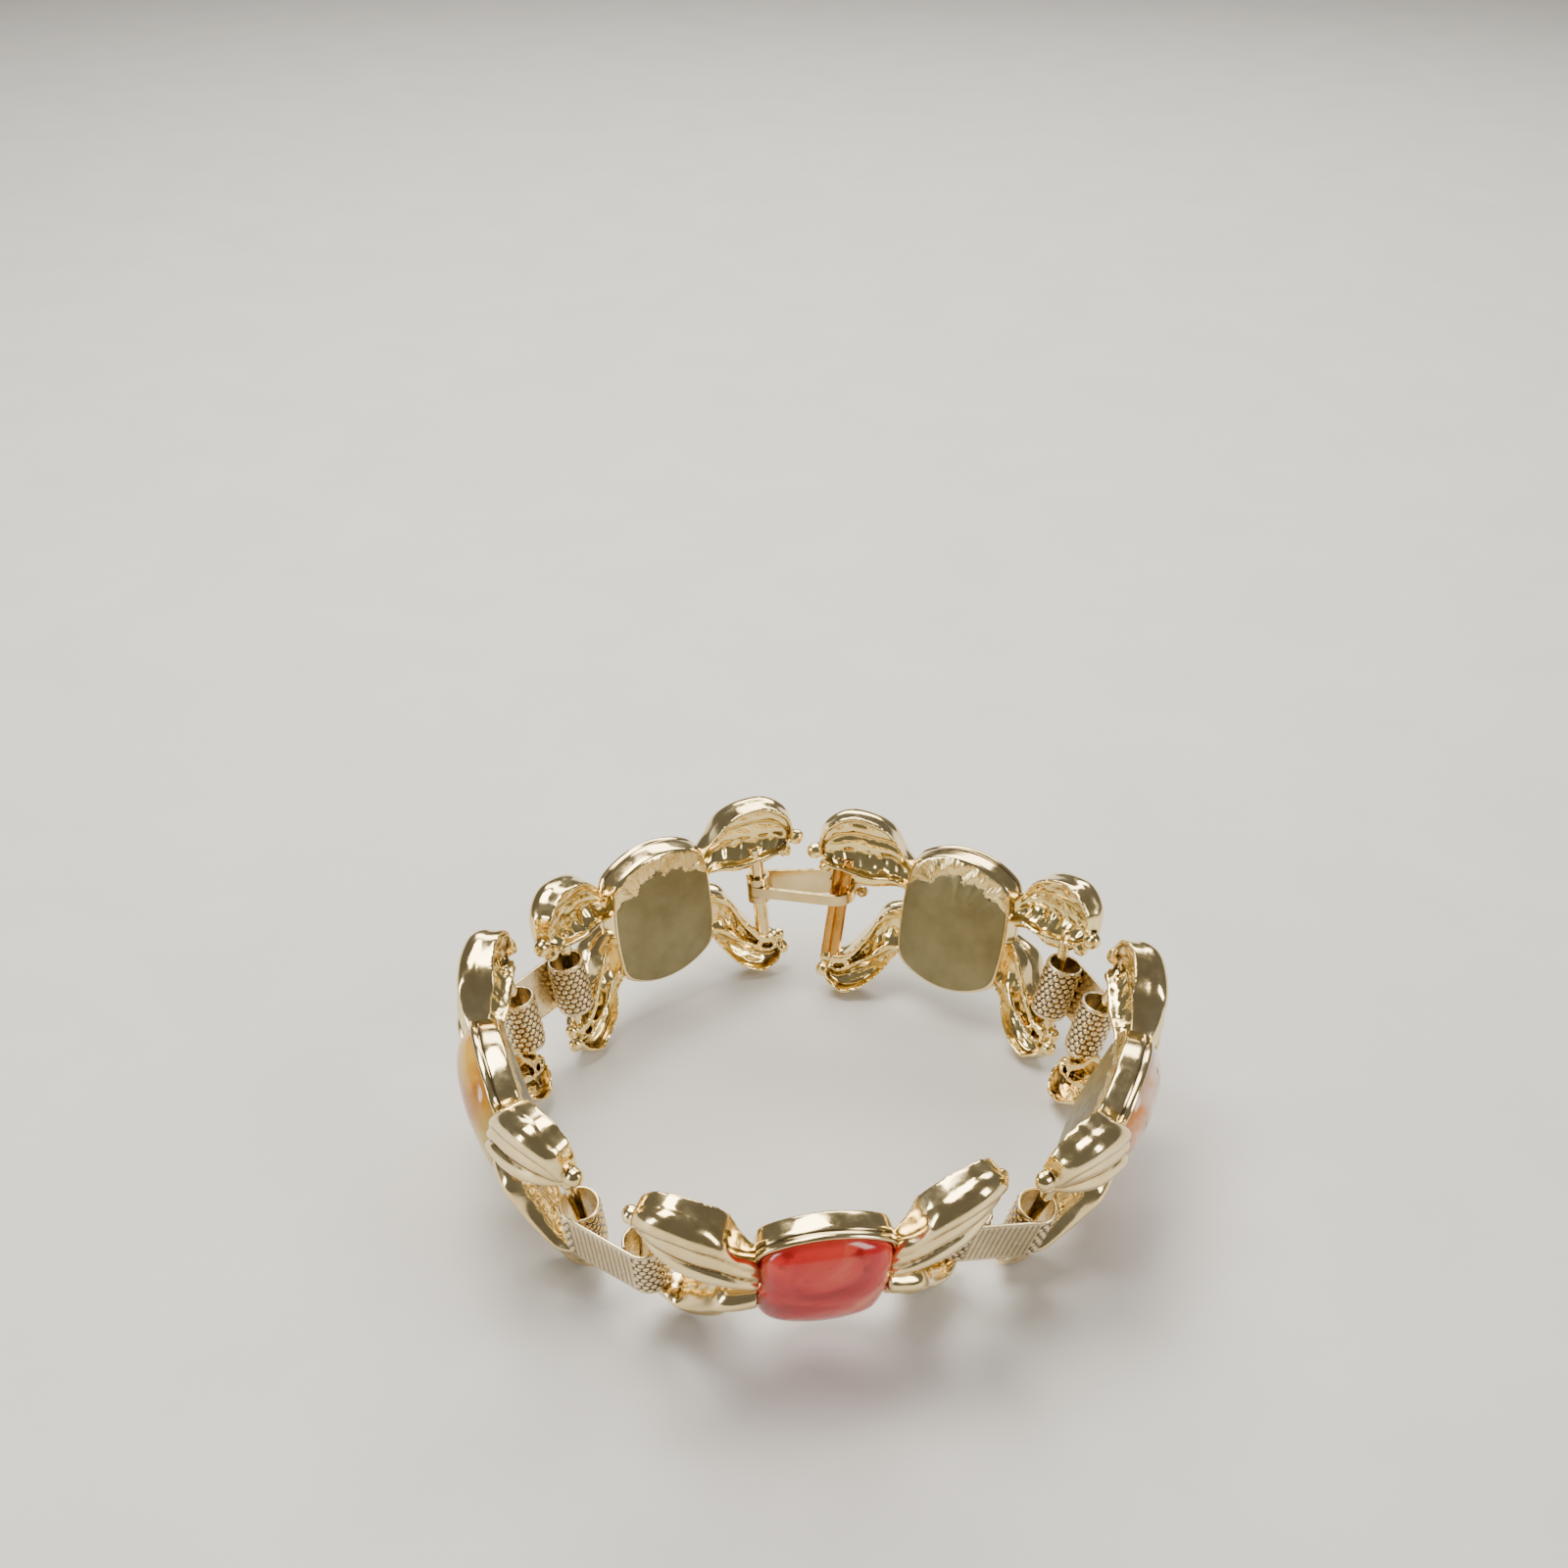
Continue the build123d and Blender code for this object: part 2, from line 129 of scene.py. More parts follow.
# Strands across an arm: shares of its width and of its length, how far they stand proud, how
# far, in millimetres, they swell away from the wrist, and how much of that their backs follow
Strand = namedtuple("Strand", "low high start end proud swell follow")
UPPER_STRANDS = [
    Strand(-0.20, 0.07, 0.10, 0.96, 0.40, 1.7, 1.0),
    Strand(0.00, 0.35, 0.0, 1.00, 0.34, 1.5, 0.5),
    Strand(0.30, 0.74, 0.0, 1.00, 0.27, 0.9, 0.0),
    Strand(0.63, 1.00, 0.0, 1.00, 0.54, 0.2, 0.0),
]
MIDDLE_STRANDS = [
    Strand(0.00, 0.30, 0.0, 1.00, 0.46, 0.0, 0.0),
    Strand(0.26, 0.62, 0.0, 1.00, 0.44, 0.5, 0.0),
    Strand(0.56, 1.00, 0.0, 1.00, 0.46, 1.2, 0.0),
]
LOWER_STRANDS = [
    Strand(0.00, 0.55, 0.0, 1.00, 0.44, 0.0, 0.0),
    Strand(0.50, 1.00, 0.0, 1.00, 0.42, 0.2, 0.0),
]

# Arms with how far their backs are hollowed, the width of the flat along the hollow's high
# side and the height of the ribs across it
ARMS = [
    (UPPER_ROWS, UPPER_STRANDS, 0.78, 0.55, 0.13),
    (MIDDLE_ROWS, MIDDLE_STRANDS, 0.50, 1.15, 0.16),
    (LOWER_ROWS, LOWER_STRANDS, 0.85, 0.50, 0.03),
]
Knob = namedtuple("Knob", "out v lift radius")
KNOBS = [
    Knob(0.95, 0.45, 0.0, 0.45),
    Knob(0.83, 0.30, 0.0, 0.40),
    Knob(0.70, -0.94, -0.1, 0.42),
    Knob(0.70, -0.79, 0.1, 0.375),
]
ARM_ROOT = 0.3
ROOT_DROP = 1.2
ROOT_RUN = 0.32
CAST_VOXEL = 0.17

# Strands: their overlap, their least depth as a share of the arm's, the shares of their length
# over which they are rounded and gathered at the tip, and how far the outer ones fall back
STRAND_OVERLAP = 1.04
STRAND_LEAST_DEPTH = 0.34
STRAND_TIP = 0.13
STRAND_TIP_LEAST = 0.04
GATHER = 0.42
GATHER_FROM = 0.84
GATHER_RUN = 0.16
EDGE_FALL = 0.36

# Sheet behind the strands: where it ends and narrows, its lip, and its hollow with two sets of
# ribs. Ends and runs along the arm are shares of its length.
SHELL_END = 0.975
SHELL_TIP = 0.11
SHELL_TIP_LEAST = 0.35
SHELL_ROOT_RUN = 0.3
SHELL_DROP = 0.05
SHELL_LIP = 0.55
SHELL_INSET = 0.12
SHELL_FOOT = 0.2
HOLLOW_FROM = 0.10
HOLLOW_RUN = 0.22
RIB_RUN = 2.1
RIB_SLANT = 1.3
FINE_RIB_RUN = 0.9
FINE_RIB_SLANT = 2.0
FINE_RIB = 0.5

# Unevenness of the cast skin: height and waves for each millimetre, on the wrist side and all over
BACK_WOBBLE = 0.06
BACK_WAVES = 2.8
SKIN_WOBBLE = 0.018
SKIN_WAVES = 1.6
FULL_GROOVE = 0.05

# From a point's normal: how soon the wrist side counts as such, and how soon a place on the
# front that looks down does
BACK_GAIN = 1.6
BACK_START = 0.2
DOWN_GAIN = 1.1
DOWN_START = 0.15
FRONT_GAIN = 2.5

# Posts
POST_RADIUS = 0.6
PIN_RADIUS = 0.8
POST_LIFT = 0.1
POST_TOP = 4.0
POST_BOTTOM = -7.9
POST_UNEVEN = 0.03
CATCH_SPREAD = 0.5

# Connectors
ROLL_INNER = 1.6
SHEET = 0.3
CONNECTOR_HEIGHT = 6.2
CONNECTOR_LEVEL = -3.0
ROLL_OPENING = 34.0
KNURL_PITCH = 0.74
KNURL_ROW = 0.64
KNURL_BUMP = 0.32
KNURL_DEPTH = 0.15
KNURL_SLANT = 0.06
KNURL_SINK = 0.05
RIB_PITCH = 0.52
RIB_DEPTH = 0.06
PLAIN_EDGE = 0.28
PLAIN_EDGE_FADE = 0.1
SHEET_STEP = 0.10
SHEET_LEVELS = 64

# Tarnish of a connector: between its knurls and ribs, how much brighter their tops are, and
# on its plain back
KNURL_TARNISH = 0.62
KNURL_BRIGHT = 1.2
RIB_TARNISH = 0.45
RIB_BRIGHT = 0.9
SHEET_BACK_TARNISH = 0.1

# Clasp
CLASP_EDGE = 0.14
CLASP_EDGE_STEPS = 3

# Camera, fitted to the photo: lens for a 36 mm sensor, place in metres, degrees below level
SENSOR = 36.0
LENS = 42.755
CAMERA_PLACE = (-0.00251, -0.13852, 0.1355)
CAMERA_PITCH = 33.868
NEAREST_SEEN = 0.005

# Floor's reach from the origin, in metres: to each side and the front, and to the back
FLOOR_SIDE = 2
FLOOR_BACK = 2.5


def unit(vector):
    """A vector's direction, with length one."""
    return vector / np.linalg.norm(vector)


def ramp(values, start, run):
    """Rises evenly from 0 at the start to 1 at the end of the run."""
    return np.clip((values - start) / run, 0, 1)


def quarter_round(share):
    """Rises from 0 to 1 like a quarter of a circle."""
    return np.sqrt(np.clip(1 - (1 - share) ** 2, 0, 1))


def wrist_curve(u):
    """How far a panel falls back towards the wrist at a place along it."""
    return np.sqrt(CURVE_RADIUS**2 - u**2) - CURVE_RADIUS


def post_u(share):
    """Place along a panel from a share of the arm's reach."""
    return CUP_HALF_WIDTH + share * ARM_REACH


def panel_frame(panel):
    """Origin and the three axes of a panel, as rows, in millimetres."""
    turn = radians(panel.bearing + panel.turn)
    bearing = radians(panel.bearing)
    lean = radians(panel.lean)
    roll = radians(panel.roll)
    along = np.array([-sin(turn), cos(turn), 0])
    outward = np.array([cos(turn), sin(turn), 0])
    up = np.array([0, 0, 1])
    rise = up * cos(lean) + outward * sin(lean)
    face = outward * cos(lean) - up * sin(lean)
    x_dir = along * cos(roll) + rise * sin(roll)
    y_dir = np.cross(face, x_dir)
    radius = panel.radius * RING_RADIUS
    origin = np.array([radius * cos(bearing), radius * sin(bearing), panel.height])
    return origin, np.array([x_dir, y_dir, face])


FRAMES = {panel.name: panel_frame(panel) for panel in PANELS}
BY_NAME = {panel.name: panel for panel in PANELS}


def in_ring(points, name):
    """Points of a panel's own frame at their places in the ring, in metres."""
    origin, axes = FRAMES[name]
    return (np.asarray(points) @ axes + origin) * MM


class Mesh:
    """Points and quads gathered piece by piece."""

    def __init__(self):
        self.points = []
        self.faces = []
        self.count = 0

    def add(self, points, faces):
        """Adds a part whose faces count its own points from zero."""
        self.points.append(np.asarray(points, float).reshape(-1, 3))
        for face in faces:
            self.faces.append([int(k) + self.count for k in face])
        self.count += len(self.points[-1])

    def all_points(self):
        """The points of every part in one table."""
        return np.vstack(self.points)


def grid(rows, columns, closed_columns=False, flip=False):
    """Quads over a grid of points stored row by row."""
    faces = []
    last_column = columns if closed_columns else columns - 1
    for i in range(rows - 1):
        for j in range(last_column):
            j2 = (j + 1) % columns
            face = [i * columns + j, (i + 1) * columns + j, (i + 1) * columns + j2, i * columns + j2]
            faces.append(face[::-1] if flip else face)
    return faces


def capped(rows, columns, flip=False):
    """A tube of closed rows with one flat face at each end."""
    faces = grid(rows, columns, closed_columns=True, flip=flip)
    first = list(range(columns))
    last = [(rows - 1) * columns + j for j in range(columns)]
    faces.append(first if not flip else first[::-1])
    faces.append(last[::-1] if not flip else last)
    return faces


def build(name, points, faces, smooth=True):
    """A piece of the scene from points and faces."""
    mesh = bpy.data.meshes.new(name)
    mesh.from_pydata([tuple(p) for p in np.asarray(points)], [], faces)
    mesh.update()
    if smooth:
        mesh.polygons.foreach_set("use_smooth", [True] * len(mesh.polygons))
    piece = bpy.data.objects.new(name, mesh)
    bpy.context.scene.collection.objects.link(piece)
    return piece


def outward_faces(piece):
    """Turns the faces of a closed mesh outwards."""
    work = bmesh.new()
    work.from_mesh(piece.data)
    bmesh.ops.recalc_face_normals(work, faces=work.faces)
    work.to_mesh(piece.data)
    work.free()


def running_length(points):
    """Length along a line of points, from its first to each of them."""
    return np.concatenate([[0], np.cumsum(np.linalg.norm(np.diff(points, axis=0), axis=1))])


def curve_through(table, where):
    """Catmull-Rom curve through the rows of a table, at a share of its length."""
    table = np.asarray(table, float)
    spot = np.clip(np.asarray(where, float), 0, 1) * (len(table) - 1)
    k = np.minimum(spot.astype(int), len(table) - 2)
    f = (spot - k)[:, None]
    p1 = table[k]
    p2 = table[k + 1]
    p0 = np.where((k > 0)[:, None], table[np.maximum(k - 1, 0)], 2 * p1 - p2)
    last = len(table) - 1
    p3 = np.where((k + 2 <= last)[:, None], table[np.minimum(k + 2, last)], 2 * p2 - p1)
    return 0.5 * (2 * p1 + (p2 - p0) * f + (2 * p0 - 5 * p1 + 4 * p2 - p3) * f**2
                  + (3 * p1 - p0 - 3 * p2 + p3) * f**3)


def arm_frames(rows, where):
    """Middle, cross direction, front direction, width and depth along an arm."""
    values = curve_through(rows, where)
    scale = np.array([ARM_REACH, ARM_HEIGHT, ARM_DEPTH])
    low = values[:, 0:3] * scale
    high = values[:, 3:6] * scale
    low[:, 0] += CUP_HALF_WIDTH
    high[:, 0] += CUP_HALF_WIDTH
    low[:, 2] += wrist_curve(low[:, 0])
    high[:, 2] += wrist_curve(high[:, 0])
    middle = (low + high) / 2
    span = high - low
    width = np.linalg.norm(span, axis=1, keepdims=True)
    across = span / width
    outward = np.stack([middle[:, 0] / CURVE_RADIUS, np.zeros(len(middle)), np.ones(len(middle))], 1)
    normal = np.cross(across, outward)
    normal /= np.linalg.norm(normal, axis=1, keepdims=True)
    front = np.cross(normal, across)
    return middle, across, front, width, values[:, 6:7] * ARM_DEPTH


def settle(where):
    """How far an arm's front comes down to the cup's rim over its first part."""
    return ROOT_DROP * (1 - ramp(where, 0, ROOT_RUN))[:, None] ** 1.5


def add_strand(body, rows, strand, side):
    """One strand of an arm: an oval tube with rounded ends."""
    stations = 64
    around = 20
    where = np.linspace(strand.start, strand.end, stations)
    middle, across, front, width, depth = arm_frames(rows, where)
    share = strand.high - strand.low
    half_wide = share * width / 2 * STRAND_OVERLAP
    half_deep = np.maximum(strand.proud * share * width, STRAND_LEAST_DEPTH * depth)
    tip = ramp(strand.end - where, 0, STRAND_TIP)[:, None]
    rounding = np.maximum(quarter_round(tip), STRAND_TIP_LEAST)
    half_wide = half_wide * rounding
    half_deep = half_deep * rounding
    gather = 1 - GATHER * ramp(where, GATHER_FROM, GATHER_RUN)[:, None] ** 2
    half_wide = half_wide * gather
    place = (strand.low + strand.high) / 2 - 0.5
    sink = half_deep - strand.proud * share * width + EDGE_FALL * depth * (2 * abs(place)) ** 4
    swell = strand.swell * np.sin(pi * np.clip(where, 0, 1) ** 0.8)[:, None] ** 0.7
    centre = middle + across * place * width * gather - front * (sink - swell)
    spread = swell * (1 - strand.follow) / 2
    half_deep = half_deep + spread * rounding
    centre = centre - front * (spread + settle(where))
    turn = np.linspace(0, 2 * pi, around, endpoint=False)
    points = (centre[:, None, :]
              + across[:, None, :] * (half_wide * np.cos(turn))[:, :, None]
              + front[:, None, :] * (half_deep * np.sin(turn))[:, :, None])
    points[:, :, 0] *= side
    body.add(points, capped(stations, around, flip=side < 0))


def add_shell(body, rows, side, deepness, flat, rib_height):
    """The hollow sheet behind the strands of an arm, with soft cross ribs inside."""
    stations = 110
    where = np.linspace(0, SHELL_END, stations)
    middle, across, front, width, depth = arm_frames(rows, where)
    depth = depth * (0.5 + 0.5 * ramp(where, 0, SHELL_ROOT_RUN))[:, None]
    share = np.linspace(-1, 1, 25)
    end = ramp(SHELL_END - where, 0, SHELL_TIP)[:, None]
    narrowing = SHELL_TIP_LEAST + (1 - SHELL_TIP_LEAST) * quarter_round(end)
    half = width / 2 * narrowing
    top = -SHELL_DROP - EDGE_FALL * depth * share**6 - settle(where)
    lip = half - SHELL_LIP
    hollow = np.sqrt(np.clip(1 - share**2, 0, 1))
    run = running_length(middle)[:, None]
    ribs = (np.sin(2 * pi * run / RIB_RUN + RIB_SLANT * share)
            + FINE_RIB * np.sin(2 * pi * run / FINE_RIB_RUN - FINE_RIB_SLANT * share))
    lean_in = (lip - (half - flat)) / 2
    inner_u = share * (lip - lean_in) - lean_in
    hollow = hollow * ramp(where, HOLLOW_FROM, HOLLOW_RUN)[:, None]
    inner_w = -depth + deepness * depth * hollow - rib_height * ribs * hollow
    outer_u = share * (half - SHELL_INSET)
    columns = []
    for j in range(len(share)):
        columns.append(middle + across * outer_u[:, j:j + 1] + front * top[:, j:j + 1])
    columns.append(middle + across * (half - SHELL_FOOT) - front * depth)
    for j in range(len(share) - 1, -1, -1):
        columns.append(middle + across * inner_u[:, j:j + 1] + front * inner_w[:, j:j + 1])
    columns.append(middle - across * (half - SHELL_FOOT) - front * depth)
    points = np.stack(columns, 1)
    points[:, :, 0] *= side
    body.add(points, capped(stations, points.shape[1], flip=side > 0))


def add_ball(body, centre, radius):
    """A ball knob."""
    rows = 12
    around = 20
    lat = np.linspace(0.04, pi - 0.04, rows)[:, None]
    lon = np.linspace(0, 2 * pi, around, endpoint=False)[None, :]
    points = np.stack([np.sin(lat) * np.cos(lon), np.sin(lat) * np.sin(lon),
                       np.cos(lat) * np.ones_like(lon)], 2) * radius + np.asarray(centre)
    body.add(points, capped(rows, around))


def barrel_outline(half_width, half_height, count=240):
    """Points round the cup's outline, evenly spread, with outward directions."""
    scale = half_width / CUP_HALF_WIDTH
    side = half_width - CUP_BELLY * scale
    end = half_height - CUP_CROWN * half_height / CUP_HALF_HEIGHT

    def arc(start, top, stop, n):
        """Points on the arc through three places, without the last one."""
        (ax, ay), (bx, by), (cx, cy) = start, top, stop
        d = 2 * (ax * (by - cy) + bx * (cy - ay) + cx * (ay - by))
        ox = ((ax**2 + ay**2) * (by - cy) + (bx**2 + by**2) * (cy - ay)
              + (cx**2 + cy**2) * (ay - by)) / d
        oy = ((ax**2 + ay**2) * (cx - bx) + (bx**2 + by**2) * (ax - cx)
              + (cx**2 + cy**2) * (bx - ax)) / d
        r = np.hypot(ax - ox, ay - oy)
        a0 = np.arctan2(ay - oy, ax - ox)
        a1 = np.arctan2(cy - oy, cx - ox)
        gap = (a1 - a0 + pi) % (2 * pi) - pi
        t = a0 + gap * np.linspace(0, 1, n, endpoint=False)
        return np.stack([ox + r * np.cos(t), oy + r * np.sin(t)], 1)

    n = 400
    loop = np.vstack([
        arc((side, -end), (half_width, 0), (side, end), n),
        arc((side, end), (0, half_height), (-side, end), n),
        arc((-side, end), (-half_width, 0), (-side, -end), n),
        arc((-side, -end), (0, -half_height), (side, -end), n),
    ])
    reach = np.cumsum(np.linalg.norm(np.roll(loop, -1, 0) - loop, axis=1))
    total = reach[-1]
    window = int(len(loop) * CUP_CORNER * 1.1 / total)
    smooth = np.zeros_like(loop)
    for k in range(-window, window + 1):
        smooth += np.roll(loop, k, 0)
    smooth /= 2 * window + 1
    reach = np.concatenate([[0], np.cumsum(np.linalg.norm(np.roll(smooth, -1, 0) - smooth, axis=1))])
    spots = np.linspace(0, reach[-1], count, endpoint=False)
    ring = np.vstack([smooth, smooth[:1]])
    out = np.stack([np.interp(spots, reach, ring[:, 0]), np.interp(spots, reach, ring[:, 1])], 1)
    tangent = np.roll(out, -1, 0) - np.roll(out, 1, 0)
    normal = np.stack([tangent[:, 1], -tangent[:, 0]], 1)
    normal /= np.linalg.norm(normal, axis=1, keepdims=True)
    return out, normal


# The bezel's section, from the inside of the rim over the front, down the wall and round
# the back lip. in_by is how far inside the outline, w the height in the panel's frame, and
# tarnish how dark the row is.
RingRow = namedtuple("RingRow", "in_by w tarnish", defaults=(0.0,))
RING = [
    RingRow(0.64, -0.5), RingRow(0.62, 0.45), RingRow(0.60, 0.62, 0.5), RingRow(0.50, 0.76),
    RingRow(0.40, 0.82), RingRow(0.33, 0.76, 0.7), RingRow(0.29, 0.70, 0.7), RingRow(0.24, 0.77),
    RingRow(0.16, 0.88), RingRow(0.08, 0.88), RingRow(0.02, 0.80), RingRow(0.00, 0.62),
    RingRow(0.03, 0.40), RingRow(0.14, 0.24, 0.6), RingRow(0.19, 0.14, 0.6), RingRow(0.14, 0.04, 0.6),
    RingRow(0.12, -0.10), RingRow(0.20, -0.50), RingRow(0.28, -0.90), RingRow(0.36, -1.25),
    RingRow(0.44, -1.60), RingRow(0.52, -1.78), RingRow(0.66, -1.85), RingRow(0.82, -1.87),
    RingRow(1.10, -1.86), RingRow(1.45, -1.84), RingRow(1.80, -1.86), RingRow(2.20, -1.84),
    RingRow(2.60, -1.82), RingRow(3.00, -1.80), RingRow(3.40, -1.74), RingRow(3.70, -1.40),
]
RING_COUNT = 300

# The flange, from this row on: where it turns rough, its waves and grain inwards and upwards,
# and the part of the cup, as a share of its height, along which it stands proud
FLANGE_FROM = 23
ROUGH_FROM = 0.7
ROUGH_RUN = 0.4
FLANGE_WAVES = (6, 11, 17, 26)
FLANGE_WAVE_IN = 0.05
FLANGE_GRAIN_IN = 0.02
FLANGE_LIFT = 0.10
FLANGE_WAVE_UP = 0.16
FLANGE_GRAIN_UP = 0.05
FLANGE_TOP_FROM = 0.30
FLANGE_TOP_RUN = 0.35
FLANGE_TARNISH_LEAST = -0.1
FLANGE_TARNISH_SPAN = 0.45


def ring_points(count, rng):
    """The bezel ring, with an uneven cast flange inside its back lip, proud along the top."""
    outline, normal = barrel_outline(CUP_HALF_WIDTH, CUP_HALF_HEIGHT, count)
    turn = np.linspace(0, 2 * pi, count, endpoint=False)
    upper = ramp(outline[:, 1] / CUP_HALF_HEIGHT, FLANGE_TOP_FROM, FLANGE_TOP_RUN)
    rows = []
    for k, row in enumerate(RING):
        rough = ramp(row.in_by, ROUGH_FROM, ROUGH_RUN)
        waves = sum(np.sin(m * turn + 1.7 * m + 0.9 * k) for m in FLANGE_WAVES) / len(FLANGE_WAVES)
        grain = rng.standard_normal(count)
        inward = np.full(count, row.in_by) + rough * (FLANGE_WAVE_IN * waves + FLANGE_GRAIN_IN * grain)
        place = outline - normal * inward[:, None]
        lift = rough * upper * (FLANGE_LIFT + FLANGE_WAVE_UP * waves + FLANGE_GRAIN_UP * grain)
        rows.append(np.column_stack([place, row.w - lift]))
    return np.stack(rows, 0)


def cup_core():
    """The inside of the cup's wall, carried on above and below it, to end the arms in."""
    around = 160
    rows = []
    for level in (CUP_FRONT - CUP_DEPTH - CORE_BELOW, CUP_FRONT + CORE_ABOVE):
        slope = CUP_TAPER / CUP_DEPTH * (CUP_FRONT - min(level, CUP_FRONT + CORE_TAPER_ABOVE))
        outline, _ = barrel_outline(CUP_HALF_WIDTH - slope - ARM_ROOT,
                                    CUP_HALF_HEIGHT - slope - ARM_ROOT, around)
        rows.append(np.column_stack([outline, np.full(around, float(level))]))
    core = build("core", np.vstack(rows), capped(2, around))
    outward_faces(core)
    return core


def cast_arms():
    """The six arms fused into one skin, as points and faces in the panel's frame."""
    body = Mesh()
    for side in (1, -1):
        for rows, strands, deepness, flat, rib_height in ARMS:
            add_shell(body, rows, side, deepness, flat, rib_height)
            for strand in strands:
                add_strand(body, rows, strand, side)
        for knob in KNOBS:
            u = post_u(knob.out)
            place = (side * u, knob.v * ARM_HEIGHT, wrist_curve(u) + knob.lift * ARM_DEPTH)
            add_ball(body, place, knob.radius * ARM_DEPTH)
    raw = build("cast_raw", body.all_points(), body.faces)
    outward_faces(raw)
    fuse = raw.modifiers.new("fuse", "REMESH")
    fuse.mode = "VOXEL"
    fuse.voxel_size = CAST_VOXEL
    fuse.adaptivity = 0.0
    ease = raw.modifiers.new("ease", "SMOOTH")
    ease.factor = 0.5
    ease.iterations = 4
    core = cup_core()
    trim = raw.modifiers.new("trim", "BOOLEAN")
    trim.operation = "DIFFERENCE"
    trim.object = core
    trim.solver = "EXACT"
    bpy.context.view_layer.update()
    solid = raw.evaluated_get(bpy.context.evaluated_depsgraph_get())
    mesh = bpy.data.meshes.new_from_object(solid)
    points = np.empty(len(mesh.vertices) * 3)
    mesh.vertices.foreach_get("co", points)
    faces = [list(p.vertices) for p in mesh.polygons]
    bpy.data.objects.remove(raw)
    bpy.data.objects.remove(core)
    return points.reshape(-1, 3), faces


def surface_facts(points, faces):
    """Normals and hollowness of a mesh: positive in grooves, negative on crests."""
    quads = []
    for face in faces:
        for k in range(1, len(face) - 1, 2):
            quads.append([face[0], face[k], face[k + 1], face[min(k + 2, len(face) - 1)]])
    quads = np.array(quads)
    a, b, c, d = (points[quads[:, k]] for k in range(4))
    face_normal = np.cross(c - a, d - b)
    normal = np.zeros_like(points)
    for k in range(4):
        np.add.at(normal, quads[:, k], face_normal)
    normal /= np.maximum(np.linalg.norm(normal, axis=1, keepdims=True), 1e-12)
    edges = np.vstack([quads[:, [0, 1]], quads[:, [1, 2]], quads[:, [2, 3]], quads[:, [3, 0]]])
    degree = np.zeros(len(points))
    np.add.at(degree, edges.ravel(), 1)
    degree = np.maximum(degree, 1)

    def spread(values):
        """Each point's mean over its neighbours."""
        total = np.zeros_like(values)
        np.add.at(total, edges[:, 0], values[edges[:, 1]])
        np.add.at(total, edges[:, 1], values[edges[:, 0]])
        return total / (degree if values.ndim == 1 else degree[:, None])

    wide = points
    for _ in range(5):
        wide = spread(wide)
    hollow = np.einsum("ij,ij->i", wide - points, normal)
    for _ in range(3):
        hollow = 0.4 * hollow + 0.6 * spread(hollow)
    return normal, hollow


def wobble(points, scale, seed):
    """Smooth pseudo-noise from a few seeded waves."""
    rng = np.random.default_rng(seed)
    total = np.zeros(len(points))
    for _ in range(12):
        direction = rng.standard_normal(3)
        direction /= np.linalg.norm(direction)
        total += np.sin(points @ direction * scale * rng.uniform(0.6, 1.7) + rng.uniform(0, 2 * pi))
    return total / sqrt(12)


# The arms' skin is worked out once for all five castings. Behind is its wrist side, shade
# the part of its front that looks down, which is given a painted dark reflection.
rng = np.random.default_rng(11)
arm_points, arm_faces = cast_arms()
arm_normal, arm_hollow = surface_facts(arm_points, arm_faces)
behind = np.clip(-arm_normal[:, 2] * BACK_GAIN - BACK_START, 0, 1)
arm_points = arm_points + arm_normal * (behind * BACK_WOBBLE * wobble(arm_points, BACK_WAVES, 5))[:, None]
arm_points = arm_points + arm_normal * (SKIN_WOBBLE * wobble(arm_points, SKIN_WAVES, 8))[:, None]
arm_groove = np.clip(arm_hollow / FULL_GROOVE, -1, 1) * (1 - 0.5 * behind)
shade = np.clip(DOWN_START - arm_normal[:, 1] * DOWN_GAIN, 0, 1)
shade = shade * np.clip(arm_normal[:, 2] * FRONT_GAIN, 0, 1)


def point_attribute(piece, name, values):
    """A value at each point of a piece, for its material to read."""
    layer = piece.data.attributes.new(name, "FLOAT", "POINT")
    layer.data.foreach_set("value", np.asarray(values, np.float32))


def node_tree(name):
    """A new material with its nodes, its links and its shader."""
    material = bpy.data.materials.new(name)
    material.use_nodes = True
    nodes = material.node_tree.nodes
    return material, nodes, material.node_tree.links, nodes["Principled BSDF"]


def ramp_node(nodes, stops):
    """A colour ramp through stops of a place and a colour."""
    node = nodes.new("ShaderNodeValToRGB")
    elements = node.color_ramp.elements
    for element, (place, colour) in zip(elements, (stops[0], stops[-1])):
        element.position = place
        element.color = (*colour, 1)
    for place, colour in stops[1:-1]:
        elements.new(place).color = (*colour, 1)
    return node


def noise_node(nodes, links, scale, detail, rough=0.55):
    """Noise that keeps its place on the object."""
    coordinate = nodes.new("ShaderNodeTexCoord")
    noise = nodes.new("ShaderNodeTexNoise")
    noise.inputs["Scale"].default_value = scale
    noise.inputs["Detail"].default_value = detail
    noise.inputs["Roughness"].default_value = rough
    links.new(coordinate.outputs["Object"], noise.inputs["Vector"])
    return noise


def mixed(nodes, links, factor, below, above):
    """A plain colour laid over another output by a factor."""
    mix = nodes.new("ShaderNodeMix")
    mix.data_type = "RGBA"
    mix.inputs["B"].default_value = (*above, 1)
    links.new(factor, mix.inputs["Factor"])
    links.new(below, mix.inputs["A"])
    return mix.outputs["Result"]


# Painted dark reflection on the part of an arm's front that looks down: this tone, by this share at most
PAINTED_REFLECTION_TONE = (0.36, 0.24, 0.11)
PAINTED_REFLECTION_SHARE = 0.62


